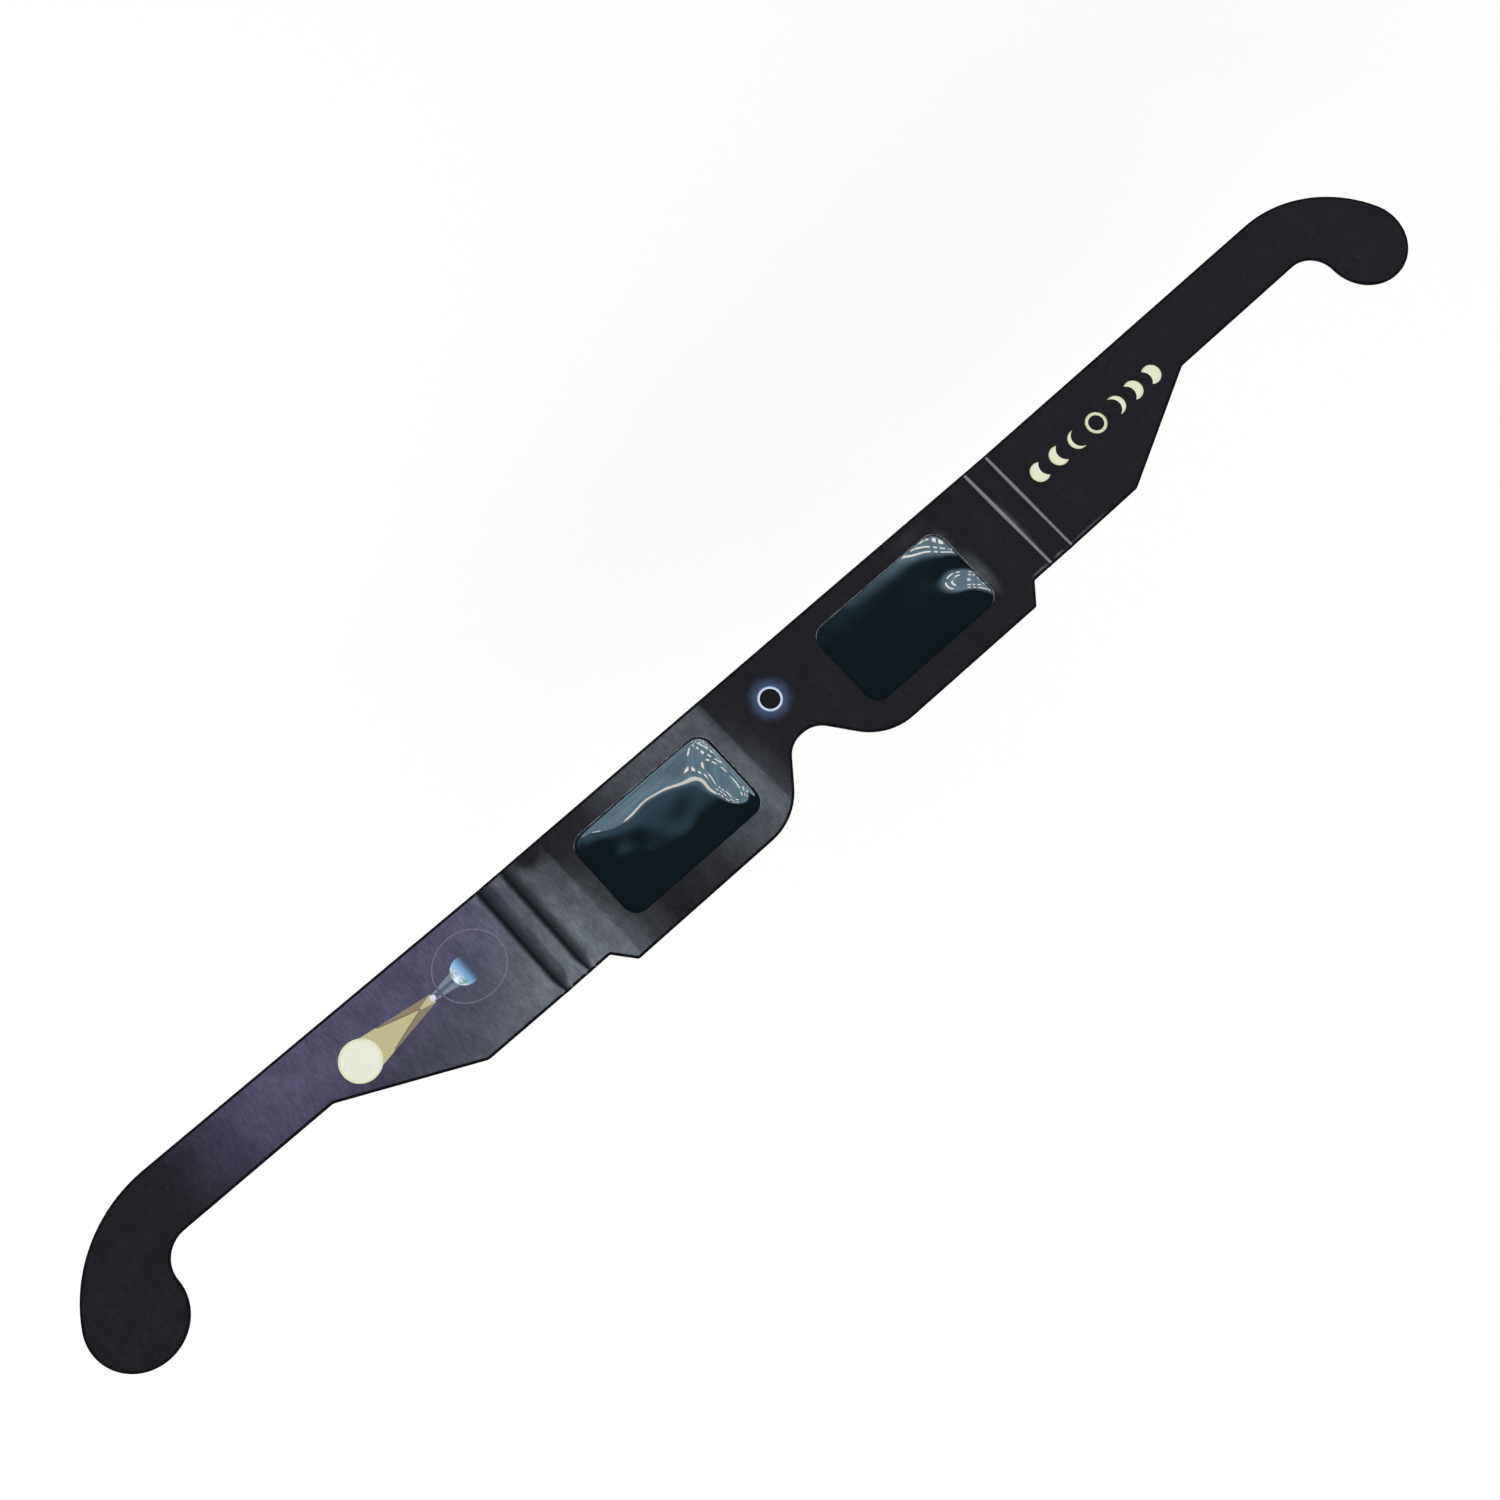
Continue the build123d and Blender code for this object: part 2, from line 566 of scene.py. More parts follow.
@dataclass(frozen=True)
class SheenPatch:
    """A soft oval of painted sheen on the print, or one kept clear of it where its strength is negative.
    Sizes in mm.
    """

    middle: Pair
    reach: Pair
    strength: float


@dataclass(frozen=True)
class CreaseHighlight:
    """A painted pale highlight line along a right crease: its place at y = 0, its slant, half its width and
    its strength.
    """

    x: float
    slant: float
    half: float
    strength: float


@dataclass(frozen=True)
class VarnishedPrint(Finish):
    """Offset ink on coated folding board, under a thin water varnish.

    The ink soaks a little into the fibres, so the black is never even: fine upright grain and cloudy patches
    a few mm wide. The varnish gives a low, broad sheen. On top of it a pale grey-blue sheen is painted into
    the colour as a painted reflection, with painted shade in the left creases and painted highlight lines on
    the right.
    """

    ink_black: str = "#1c1b1f"
    night_violet: str = "#4a475f"
    # Grey-blue of the painted sheen
    rubbed_haze: str = "#62676e"
    # Near-black of the painted shade in the creases
    groove_shade_black: str = "#101015"
    # Grey of the real scuffs and specks, and of the painted highlight lines on the right creases
    scuff_and_highlight_grey: str = "#8b8b8f"
    glow_blue: str = "#42526e"
    roughness: Change = (0.25, 0.75, 0.47, 0.58)
    specular: float = 0.04
    index: float = 1.5
    grain_spacing: Triple = (0.28, 1.6, 1.0)
    grain_shade: Change = (0.25, 0.75, 0.80, 1.24)
    grain_depth: float = 0.010
    cloud_spacing: Triple = (3.5, 5.0, 3.0)
    cloud_shade: Change = (0.2, 0.8, 0.9, 1.12)
    cloud_depth: float = 0.03
    night_outer_end: Change = (-156, -124)
    night_inner_end: Change = (-62, -74)
    night_rise: Change = (-5, 9, 0.42, 1.0)
    night_cloud: Change = (0.1, 0.6, 0.7, 1.0)
    # Strength of the painted sheen along X, at the brow and at the foot
    sheen_at_brow: Stops = (
        (-160, 0.0), (-90, 0.02), (-76, 0.15), (-73, 0.42), (-69, 0.42), (-63.5, 0.56), (-57.5, 0.32),
        (-55.9, 0.30), (-55.5, 0.02), (-47, 0.02), (-33, 0.38), (-20, 0.60), (-13.5, 0.46), (-12.1, 0.33),
        (-11.4, 0.02), (-4, 0.0),
    )
    sheen_at_foot: Stops = (
        (-118, 0.0), (-100, 0.24), (-84, 0.58), (-73, 1.0), (-64, 1.02), (-55.9, 0.95), (-55.5, 0.52),
        (-50, 0.15), (-44, 0.0), (-33, 0.07), (-22, 0.35), (-15, 0.62), (-12.1, 0.62), (-11.4, 0.24),
        (-6, 0.02), (-4, 0.0),
    )
    sheen_fall: Change = (13, -12)
    sheen_slant: float = 0.035
    sheen_cloud: Change = (0.2, 0.8, 0.82, 1.16)
    sheen_patch_fade: Change = (1.0, 0.1, 0.0)
    # Patches of painted sheen; the first, of negative strength, keeps the brow corner by the left creases
    # clear of it
    sheen_patches: tuple[SheenPatch, ...] = (
        SheenPatch((-59.8, 15.2), (6.2, 5.8), -0.54),
        SheenPatch((52.6, -3.0), (2.8, 8.0), 0.34),
        SheenPatch((51.5, 7.5), (2.2, 4.0), 0.16),
        SheenPatch((45.0, 12.6), (8.0, 2.2), 0.07),
        SheenPatch((-14.0, -1.0), (2.6, 8.0), 0.12),
        SheenPatch((65.9, -0.5), (1.0, 10.0), 0.22),
        # Painted glints along the foot by the right creases
        SheenPatch((62.8, -11.3), (3.4, 0.6), 0.60),
        SheenPatch((68.2, -11.3), (2.2, 0.5), 0.52),
        SheenPatch((77.0, -11.3), (7.5, 0.5), 0.42),
    )
    # Painted shade across the troughs of the left creases, by distance from each crease in mm
    outer_groove_shade: Stops = (
        (-1.7, 0.0), (-1.1, 0.62), (-0.8, 0.92), (-0.4, 1.0), (0.1, 0.88), (0.7, 0.81), (1.0, 0.72),
        (1.4, 0.61), (1.8, 0.54), (2.9, 0.0),
    )
    inner_groove_shade: Stops = (
        (-1.7, 0.0), (-1.2, 0.33), (-0.9, 0.75), (-0.6, 0.91), (-0.3, 1.0), (0.3, 0.87), (0.9, 0.77),
        (1.2, 0.65), (1.6, 0.45), (2.1, 0.15), (3.0, 0.0),
    )
    groove_shade_taper: Change = (-12.4, -7.5, 0.30, 1.0)
    # Painted highlight lines along the right creases
    crease_highlights: tuple[CreaseHighlight, ...] = (
        CreaseHighlight(65.40, -0.018, 0.52, 0.72),
        CreaseHighlight(71.70, -0.012, 0.46, 0.68),
    )
    highlight_middle: float = 6.0
    highlight_reach: float = 14.0
    highlight_end_share: float = 0.72
    highlight_raggedness: float = 0.16
    highlight_fade: Change = (1.05, 0.45, 0.0)
    glow: Change = (6.2, 3.0, 0.0, 0.8)
    glow_raggedness: float = 1.4
    glow_spacing: Triple = (1.6, 1.6, 1.6)
    speck_spacing: Triple = (0.5, 0.5, 0.5)
    speck: Change = (0.72, 0.80)
    scuff_spacing: Triple = (9, 7, 9)
    scuff: Change = (0.5, 0.68, 0.0, 0.22)

    def pattern(self, bench: FinishBench) -> Sockets:
        """Prints the black and the violet night, and wears them.

        Args:
            bench: The material being made.

        Returns:
            What feeds the shader.
        """
        cloud = bench.grain(self.cloud_spacing, detail=3.0, roughness=0.6)
        grain = bench.grain(self.grain_spacing, detail=3.0, roughness=0.65, seed=31)
        colour = bench.blend(self.night(bench, cloud), linear(self.ink_black), linear(self.night_violet))
        # Painted sheen: a reflection of the soft light, painted into the colour
        colour = bench.blend(self.painted_sheen(bench, cloud), colour, linear(self.rubbed_haze))
        shades = bench.step(grain, *self.grain_shade), bench.step(cloud, *self.cloud_shade)
        colour = bench.scaled(colour, bench.maths("MULTIPLY", *shades))
        # Painted shade in the left creases' troughs, darker on their left side and narrower towards the foot
        for fold, profile in ((Fold.OUTER, self.outer_groove_shade), (Fold.INNER, self.inner_groove_shade)):
            width = bench.step(bench.y, *self.groove_shade_taper)
            away = bench.maths("DIVIDE", bench.maths("SUBTRACT", bench.x, -fold.value), width)
            colour = bench.blend(bench.levels(away, profile), colour, linear(self.groove_shade_black))
        # Painted highlight lines along the right creases
        for line in self.crease_highlights:
            colour = bench.blend(self.crease_highlight(bench, line, grain), colour, linear(self.scuff_and_highlight_grey))
        patches = bench.grain(self.glow_spacing, seed=5)
        uneven = bench.maths("MULTIPLY_ADD", patches, self.glow_raggedness, bench.away_from(RING_MIDDLE))
        colour = bench.blend(bench.step(uneven, *self.glow), colour, linear(self.glow_blue))
        # Pale specks and scuffs of real wear, in the same grey as the painted highlights
        specks = bench.step(bench.grain(self.speck_spacing, detail=1.0, seed=77), *self.speck)
        scuffs = bench.step(bench.grain(self.scuff_spacing, detail=1.0, seed=12), *self.scuff)
        colour = bench.blend(bench.maths("MULTIPLY", specks, scuffs), colour, linear(self.scuff_and_highlight_grey))
        return {
            "Base_Color": colour,
            "Roughness": bench.step(cloud, *self.roughness),
            "Specular_IOR_Level": self.specular,
            "Normal": bench.relief(cloud, self.cloud_depth, under=bench.relief(grain, self.grain_depth)),
            "IOR": self.index,
        }

    def night(self, bench: FinishBench, cloud: NodeValue) -> bpy.types.NodeSocket:
        """The violet night of the left arm, strongest near its top edge.

        Args:
            bench: The material being made.
            cloud: The print's cloudiness.

        Returns:
            Its strength.
        """
        ends = bench.step(bench.x, *self.night_outer_end), bench.step(bench.x, *self.night_inner_end)
        strength = bench.maths("MULTIPLY", *ends)
        for shade in (bench.step(bench.y, *self.night_rise), bench.step(cloud, *self.night_cloud)):
            strength = bench.maths("MULTIPLY", strength, shade)
        return strength

    def painted_sheen(self, bench: FinishBench, cloud: NodeValue) -> bpy.types.NodeSocket:
        """The painted sheen, a reflection painted into the colour: two runs along the length, at the brow and
        at the foot, and patches between.

        Args:
            bench: The material being made.
            cloud: The print's cloudiness.

        Returns:
            Its strength.
        """
        low = bench.step(bench.y, *self.sheen_fall)
        high = bench.maths("SUBTRACT", 1.0, low)
        slanted = bench.maths("MULTIPLY_ADD", bench.y, self.sheen_slant, bench.x)
        brow = bench.maths("MULTIPLY", bench.levels(slanted, self.sheen_at_brow), high)
        painted_sheen = bench.maths("MULTIPLY_ADD", bench.levels(slanted, self.sheen_at_foot), low, brow)
        for patch in self.sheen_patches:
            away = bench.away_from(patch.middle, patch.reach)
            painted_sheen = bench.maths("ADD", painted_sheen, bench.step(away, *self.sheen_patch_fade, patch.strength))
        return bench.maths("MULTIPLY", painted_sheen, bench.step(cloud, *self.sheen_cloud), clamp=True)

    def crease_highlight(self, bench: FinishBench, line: CreaseHighlight, grain: NodeValue) -> bpy.types.NodeSocket:
        """A painted pale highlight along a right crease, where the trough's wall catches the sheen, widest at
        its middle.

        Args:
            bench: The material being made.
            line: The line.
            grain: The print's grain, which breaks up the line's edges.

        Returns:
            Its strength.
        """
        centre = bench.maths("MULTIPLY_ADD", bench.y, line.slant, line.x)
        away = bench.maths("ABSOLUTE", bench.maths("SUBTRACT", bench.x, centre))
        uneven = bench.maths("SUBTRACT", grain, 0.5)
        ragged = bench.maths("MULTIPLY_ADD", uneven, self.highlight_raggedness, away)
        off_middle = bench.maths("ABSOLUTE", bench.maths("SUBTRACT", bench.y, self.highlight_middle))
        half = bench.step(off_middle, self.highlight_reach, 0, line.half * self.highlight_end_share, line.half)
        return bench.step(bench.maths("DIVIDE", ragged, half), *self.highlight_fade, line.strength)


@dataclass(frozen=True)
class WindowRimHighlight(Finish):
    """A window's crushed rim where it leans to the lower left: a painted highlight of the light from there,
    in pale grey fibre colour with chips of ink.
    """

    # Pale grey of the painted highlight, shown as bare fibre
    fibre: str = "#77777c"
    ink: str = "#3a3a40"
    roughness: float = 0.7
    specular: float = 0.2
    chip_spacing: Triple = (1.1, 1.1, 1.1)
    chipping: Change = (0.38, 0.62)
    fibre_spacing: Triple = (0.12, 0.12, 0.12)
    fibre_depth: float = 0.02

    def pattern(self, bench: FinishBench) -> Sockets:
        """Breaks the pale highlight grey with chips of ink.

        Args:
            bench: The material being made.

        Returns:
            What feeds the shader.
        """
        chips = bench.step(bench.grain(self.chip_spacing, detail=4.0, roughness=0.7), *self.chipping)
        return {
            "Base_Color": bench.blend(chips, linear(self.ink), linear(self.fibre)),
            "Roughness": self.roughness,
            "Specular_IOR_Level": self.specular,
            "Normal": bench.relief(bench.grain(self.fibre_spacing, seed=9), self.fibre_depth),
        }


@dataclass(frozen=True)
class DarkOutlineBand(Finish):
    """A near-black band along the outline, darker than the print beside it."""

    # Near-black of the band, and the lighter grey of its patches
    ink: str = "#0a0b0d"
    thin: str = "#17181c"
    roughness: float = 0.6
    specular: float = 0.03
    patch_spacing: Triple = (0.6, 0.6, 0.6)
    thinning: Change = (0.4, 0.75)
    patch_depth: float = 0.01

    def pattern(self, bench: FinishBench) -> Sockets:
        """Lightens the band a little in small patches.

        Args:
            bench: The material being made.

        Returns:
            What feeds the shader.
        """
        grain = bench.grain(self.patch_spacing, detail=3.0, roughness=0.6, seed=52)
        return {
            "Base_Color": bench.blend(bench.step(grain, *self.thinning), linear(self.ink), linear(self.thin)),
            "Roughness": self.roughness,
            "Specular_IOR_Level": self.specular,
            "Normal": bench.relief(grain, self.patch_depth),
        }


@dataclass(frozen=True)
class CutEdge(Finish):
    """The die-cut side of the board: grey pulp in thin layers, stained by the ink near the front."""

    pulp: str = "#5c5b5b"
    stain: str = "#1c1c1f"
    roughness: float = 0.9
    specular: float = 0.2
    layer_spacing: Triple = (1.4, 1.4, 0.09)
    layer_shade: Change = (0.3, 0.7, 0.75, 1.2)
    layer_depth: float = 0.03
    stain_levels: Change = (0.66, 0.98)
    stain_raggedness: float = 0.3

    def pattern(self, bench: FinishBench) -> Sockets:
        """Lays the pulp's layers, and the stain down to a ragged level.

        Args:
            bench: The material being made.

        Returns:
            What feeds the shader.
        """
        layers = bench.grain(self.layer_spacing, detail=3.0, roughness=0.6)
        uneven = bench.maths("SUBTRACT", layers, 0.5)
        level = bench.maths("MULTIPLY_ADD", uneven, self.stain_raggedness, bench.z)
        colour = bench.blend(bench.step(level, *self.stain_levels), linear(self.pulp), linear(self.stain))
        return {
            "Base_Color": bench.scaled(colour, bench.step(layers, *self.layer_shade)),
            "Roughness": self.roughness,
            "Specular_IOR_Level": self.specular,
            "Normal": bench.relief(layers, self.layer_depth),
        }


@dataclass(frozen=True)
class PlainBoard(Finish):
    """The uncoated back of folding board: off-white pulp, matt, with stray fibres and a soft cloudiness."""

    pulp: str = "#c9c6bf"
    shade: str = "#bdb9b1"
    fibre: str = "#8f8a82"
    roughness: float = 0.88
    specular: float = 0.25
    cloud_spacing: Triple = (6, 4, 6)
    cloudiness: Change = (0.3, 0.7)
    cloud_depth: float = 0.05
    strand_spacing: Triple = (1.8, 0.14, 0.5)
    strand: Change = (0.56, 0.74, 0.0, 0.35)
    strand_depth: float = 0.012
    fleck_spacing: Triple = (0.35, 0.35, 0.35)
    fleck: Change = (0.74, 0.80, 0.0, 0.5)

    def pattern(self, bench: FinishBench) -> Sockets:
        """Clouds the pulp, and strews strands and flecks over it.

        Args:
            bench: The material being made.

        Returns:
            What feeds the shader.
        """
        cloud = bench.grain(self.cloud_spacing, detail=4.0, roughness=0.6)
        strands = bench.grain(self.strand_spacing, detail=3.0, roughness=0.7, seed=18)
        flecks = bench.grain(self.fleck_spacing, detail=1.0, seed=44)
        colour = bench.blend(bench.step(cloud, *self.cloudiness), linear(self.pulp), linear(self.shade))
        colour = bench.blend(bench.step(strands, *self.strand), colour, linear(self.fibre))
        colour = bench.blend(bench.step(flecks, *self.fleck), colour, linear(self.fibre))
        return {
            "Base_Color": colour,
            "Roughness": self.roughness,
            "Specular_IOR_Level": self.specular,
            "Normal": bench.relief(cloud, self.cloud_depth, under=bench.relief(strands, self.strand_depth)),
        }


@dataclass(frozen=True)
class BlackFilm(Finish):
    """Cast polyester film filled with carbon black: it gives back little but what its gloss mirrors."""

    body: str = "#0b1317"
    dust: str = "#9aa3a6"
    roughness: Change = (0.3, 0.7, 0.012, 0.024)
    index: float = 1.64
    cloud_spacing: Triple = (7, 5, 7)
    dust_spacing: Triple = (0.22, 0.22, 0.22)
    dusting: Change = (0.78, 0.84, 0.0, 0.10)

    def pattern(self, bench: FinishBench) -> Sockets:
        """Strews a little dust, and clouds the gloss.

        Args:
            bench: The material being made.

        Returns:
            What feeds the shader.
        """
        cloud = bench.grain(self.cloud_spacing)
        specks = bench.step(bench.grain(self.dust_spacing, detail=1.0, seed=3), *self.dusting)
        return {
            "Base_Color": bench.blend(specks, linear(self.body), linear(self.dust)),
            "Roughness": bench.step(cloud, *self.roughness),
            "IOR": self.index,
        }


@dataclass(frozen=True)
class DriedGlue(Finish):
    """White carton glue, dried milky between the plies, with small bubbles."""

    milk: str = "#c4c0b4"
    thin: str = "#a39f94"
    roughness: float = 0.45
    cloud_spacing: Triple = (2.5, 2.5, 2.5)
    cloudiness: Change = (0.35, 0.65)
    bubble_spacing: Triple = (0.4, 0.4, 0.4)
    bubble_depth: float = 0.02

    def pattern(self, bench: FinishBench) -> Sockets:
        """Clouds the glue, and raises its bubbles.

        Args:
            bench: The material being made.

        Returns:
            What feeds the shader.
        """
        cloud = bench.grain(self.cloud_spacing, detail=4.0, roughness=0.6)
        milkiness = bench.step(cloud, *self.cloudiness)
        return {
            "Base_Color": bench.blend(milkiness, linear(self.milk), linear(self.thin)),
            "Roughness": self.roughness,
            "Normal": bench.relief(bench.grain(self.bubble_spacing, seed=6), self.bubble_depth),
        }


@dataclass(frozen=True)
class FlatInk(Finish):
    """One flat tint of the print, a little thin where the fibres show through, under the same varnish.

    Where it has an edge colour, the tint runs out to it at the reach from its middle, both in mm.
    """

    tint: str
    edge: str | None = None
    middle: Pair = (0.0, 0.0)
    reach: float = 1.0
    edge_start: float = 0.8
    roughness: float = 0.5
    specular: float = 0.05
    grain_spacing: Triple = (0.28, 0.5, 0.5)
    grain_shade: Change = (0.25, 0.75, 0.9, 1.06)
    grain_depth: float = 0.006

    def pattern(self, bench: FinishBench) -> Sockets:
        """Lays the tint with its grain.

        Args:
            bench: The material being made.

        Returns:
            What feeds the shader.
        """
        near_edge = bench.step(bench.away_from(self.middle), self.reach * self.edge_start, self.reach)
        colour = bench.blend(near_edge, linear(self.tint), linear(self.edge or self.tint))
        grain = bench.grain(self.grain_spacing, detail=3.0, roughness=0.6, seed=23)
        return {
            "Base_Color": bench.scaled(colour, bench.step(grain, *self.grain_shade)),
            "Roughness": self.roughness,
            "Specular_IOR_Level": self.specular,
            "Normal": bench.relief(grain, self.grain_depth),
        }


@dataclass(frozen=True)
class GlobeInk(Finish):
    """The small printed globe: sea and land on its day side, and the night side lost in the dark print.

    The changes run along X, from the globe's middle.
    """

    middle_x: float
    sea: str = "#7aa5cd"
    cloud: str = "#d5e2ee"
    land: str = "#6c927e"
    night: str = "#434759"
    roughness: float = 0.5
    specular: float = 0.05
    paling: Change = (-0.6, -2.8)
    land_side: Change = (-0.3, -1.3, 0.0, 0.9)
    cloud_side: Change = (-0.6, -2.6, 0.0, 0.9)
    dusk: Change = (-1.0, 1.3)
    land_spacing: Triple = (1.3, 1.7, 1.0)
    land_patch: Change = (0.50, 0.60)
    cloud_spacing: Triple = (1.1, 0.8, 1.0)
    cloud_patch: Change = (0.46, 0.66)

    def pattern(self, bench: FinishBench) -> Sockets:
        """Lays the sea, the land, the clouds and the night over each other.

        Args:
            bench: The material being made.

        Returns:
            What feeds the shader.
        """
        across = bench.maths("SUBTRACT", bench.x, self.middle_x)
        patches = bench.grain(self.land_spacing, detail=3.0, roughness=0.6, seed=61)
        whites = bench.grain(self.cloud_spacing, detail=3.0, roughness=0.6, seed=15)
        land, bright = (
            bench.maths("MULTIPLY", bench.step(grain, *patch), bench.step(across, *side))
            for grain, patch, side in (
                (patches, self.land_patch, self.land_side),
                (whites, self.cloud_patch, self.cloud_side),
            )
        )
        colour = bench.blend(bench.step(across, *self.paling), linear(self.sea), linear(self.cloud))
        colour = bench.blend(land, colour, linear(self.land))
        colour = bench.blend(bright, colour, linear(self.cloud))
        colour = bench.blend(bench.step(across, *self.dusk), colour, linear(self.night))
        return {"Base_Color": colour, "Roughness": self.roughness, "Specular_IOR_Level": self.specular}


@dataclass(frozen=True)
class StudioPaper(Finish):
    """Matt white background paper."""

    white: str = "#f7f7f6"
    tooth_spacing: Triple = (0.8, 0.8, 0.8)
    tooth_shade: Change = (0.2, 0.8, 0.985, 1.0)

    def pattern(self, bench: FinishBench) -> Sockets:
        """Shades the paper's fine tooth.

        Args:
            bench: The material being made.

        Returns:
            What feeds the shader.
        """
        tooth = bench.step(bench.grain(self.tooth_spacing), *self.tooth_shade)
        colour = bench.scaled(linear(self.white), tooth)
        return {"Base_Color": colour, "Roughness": 1.0, "Specular_IOR_Level": 0.0}


@dataclass(frozen=True)
class Finishes:
    """The materials that more than one piece is dressed in."""

    of_panels: tuple[bpy.types.Material, ...]
    of_folds: tuple[bpy.types.Material, ...]
    rubbed: bpy.types.Material
    film: bpy.types.Material
    glue: bpy.types.Material

    @classmethod
    def made(cls) -> "Finishes":
        """Makes them all, those of the folds laid out by the place that is carried on the card.

        Returns:
            The materials. Those of panels and folds are the print, the cut edge, the plain back and the
            dark outline band.
        """
        card = {
            "varnished_print": VarnishedPrint(),
            "die_cut_edge": CutEdge(),
            "plain_board": PlainBoard(),
            "dark_outline_band": DarkOutlineBand(),
        }
        return cls(
            of_panels=tuple(finish.made(name) for name, finish in card.items()),
            of_folds=tuple(finish.made(f"{name}_fold", Place.CARRIED) for name, finish in card.items()),
            rubbed=WindowRimHighlight().made("rubbed_edge"),
            film=BlackFilm().made("black_polyester_film"),
            glue=DriedGlue().made("dried_carton_glue"),
        )

    @property
    def cut(self) -> bpy.types.Material:
        """The cut edge of flat card."""
        return self.of_panels[1]

    @property
    def plain(self) -> bpy.types.Material:
        """The plain back of flat card."""
        return self.of_panels[2]


# The card


@dataclass(frozen=True)
class Card:
    """Sizes that every panel of the blank shares, in mm, as the solids have them.

    A face counts as cut where its normal has less than the steep share upwards, and as front or back
    otherwise. One at a window whose normal leans past the lower left share gets the painted highlight of the
    window's rim.
    """

    thickness: float = 0.45
    back: float = 0.61
    front: float = 1.06
    brow: float = 15.451
    strip_foot: float = -12.049
    window_middle: Pair = (33.65, 0.251)
    window_size: Pair = (36.3, 20.6)
    window_radius: float = 3.4
    window_reach: float = 0.5
    crush: float = 0.16
    rim: float = 0.42
    steep: float = 0.12
    lower_left: float = -0.2
    groove_half: float = 1.1
    groove_depth: float = 0.32
    axis_height: float = 0.46
    bead_radius: float = 0.28
    arm_rise: float = math.radians(0.75)


CARD = Card()


def near_window(centre: Vector) -> bool:
    """Whether a place in mm is at the rim of a lens window."""
    away = abs(abs(centre.x) - CARD.window_middle[0]), abs(centre.y - CARD.window_middle[1])
    return all(distance < size / 2 + CARD.window_reach for distance, size in zip(away, CARD.window_size))


def mark_outline_band(piece: bpy.types.Object, marks: list[bool]) -> None:
    """Marks the faces of the dark outline band, one mark for each face."""
    # The band's faces are held in the face attribute named pressed
    piece.data.attributes.new("pressed", "BOOLEAN", "FACE").data.foreach_set("value", marks)


def draw_outline_band(piece: bpy.types.Object, joins: Iterable[float]) -> None:
    """Draws a narrow band inside a panel's outline, on its front, and marks it with the crushed edge there.

    Args:
        piece: The panel, with its edges already crushed.
        joins: Where the panel runs on into the next one, in mm along X.
    """
    level, upright = CARD.front - 0.01, 0.99
    pick(piece, lambda centre, normal: normal.z > upright and centre.z > level)
    bpy.ops.mesh.inset(thickness=CARD.rim * MM, depth=0, use_even_offset=True)
    close_edit()
    marks = []
    for face in piece.data.polygons:
        centre = face.center / MM
        outer = not face.select and face.normal.z > CARD.steep and centre.z > CARD.back
        clear = all(abs(centre.x - join) > CARD.rim for join in joins)
        marks.append(outer and clear and not near_window(centre))
    mark_outline_band(piece, marks)


def dress_sheet(piece: bpy.types.Object, materials: Iterable[bpy.types.Material]) -> None:
    """Gives each face of a sheet of card its finish, by where it is and which way it faces.

    Args:
        piece: The sheet, with its edges crushed and the band along its outline marked.
        materials: The print, the cut edge, the plain back, the dark outline band and, for a sheet with a
            window, the painted highlight of its rim.
    """
    piece.data.materials.clear()
    for material in materials:
        piece.data.materials.append(material)
    for face, mark in zip(piece.data.polygons, piece.data.attributes["pressed"].data):
        centre, normal = face.center / MM, face.normal
        if abs(normal.z) < CARD.steep:
            face.material_index = 1
        elif normal.z < 0 or centre.z < CARD.back:
            face.material_index = 2
        # Faces of the dark outline band, held in the attribute pressed, get its near-black material
        elif mark.value:
            face.material_index = 3
        # Window rim faces that lean to the lower left get a painted highlight
        elif near_window(centre) and min(normal.x, normal.y) < CARD.lower_left:
            face.material_index = 4


@dataclass
class FrontPanel:
    """Both lens panels and the bridge: one printed ply, lower where no second ply lies behind it."""

    name: str = "front_print_sheet"
    end: float = Fold.INNER.value - CARD.groove_half
    sag: Stops = (
        (0.0, 0.060), (11.25, 0.060), (11.6, 0.030), (11.95, 0.0), (55.55, 0.0), (55.85, 0.020),
        (56.3, 0.030), (60.0, 0.0),
    )

    def build(self, finishes: Finishes) -> bpy.types.Object:
        """Builds and dresses the front.

        Args:
            finishes: The shared materials.

        Returns:
            The finished piece.
        """
        piece = copy_of_node("front_card", self.name)
        cut_across(piece, self.end, clear=1)
        cut_across(piece, -self.end, clear=-1)
        joins = (self.end, -self.end)
        crush_edges(piece, CARD.crush, joins)
        draw_outline_band(piece, joins)
        places, drops = zip(*self.sag)
        for place in places[1:]:
            cut_across(piece, place)
            cut_across(piece, -place)
        points = points_mm(piece)
        points[:, 2] -= np.interp(np.abs(points[:, 0]), places, drops)
        place_points(piece, points)
        dress_sheet(piece, (*finishes.of_panels, finishes.rubbed))
        smooth(piece)
        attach(piece, "front")
        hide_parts("front_card")
        return piece


@dataclass
class EndPanel:
    """A flat panel beyond the front: a hinge strip or an arm with its hook."""

    side: Side
    node: str
    name: str
    body: str
    start: float
    end: float | None = None

    def build(self, finishes: Finishes) -> bpy.types.Object:
        """Builds and dresses the panel.

        Args:
            finishes: The shared materials.

        Returns:
            The finished piece.
        """
        sign = self.side.value
        piece = copy_of_node(self.node, self.name)
        cut_across(piece, sign * self.start, clear=-sign)
        joins = [sign * self.start]
        if self.end is not None:
            cut_across(piece, sign * self.end, clear=sign)
            joins.append(sign * self.end)
        crush_edges(piece, CARD.crush, joins)
        draw_outline_band(piece, joins)
        dress_sheet(piece, finishes.of_panels)
        smooth(piece)
        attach(piece, self.body)
        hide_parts(self.node)
        return piece


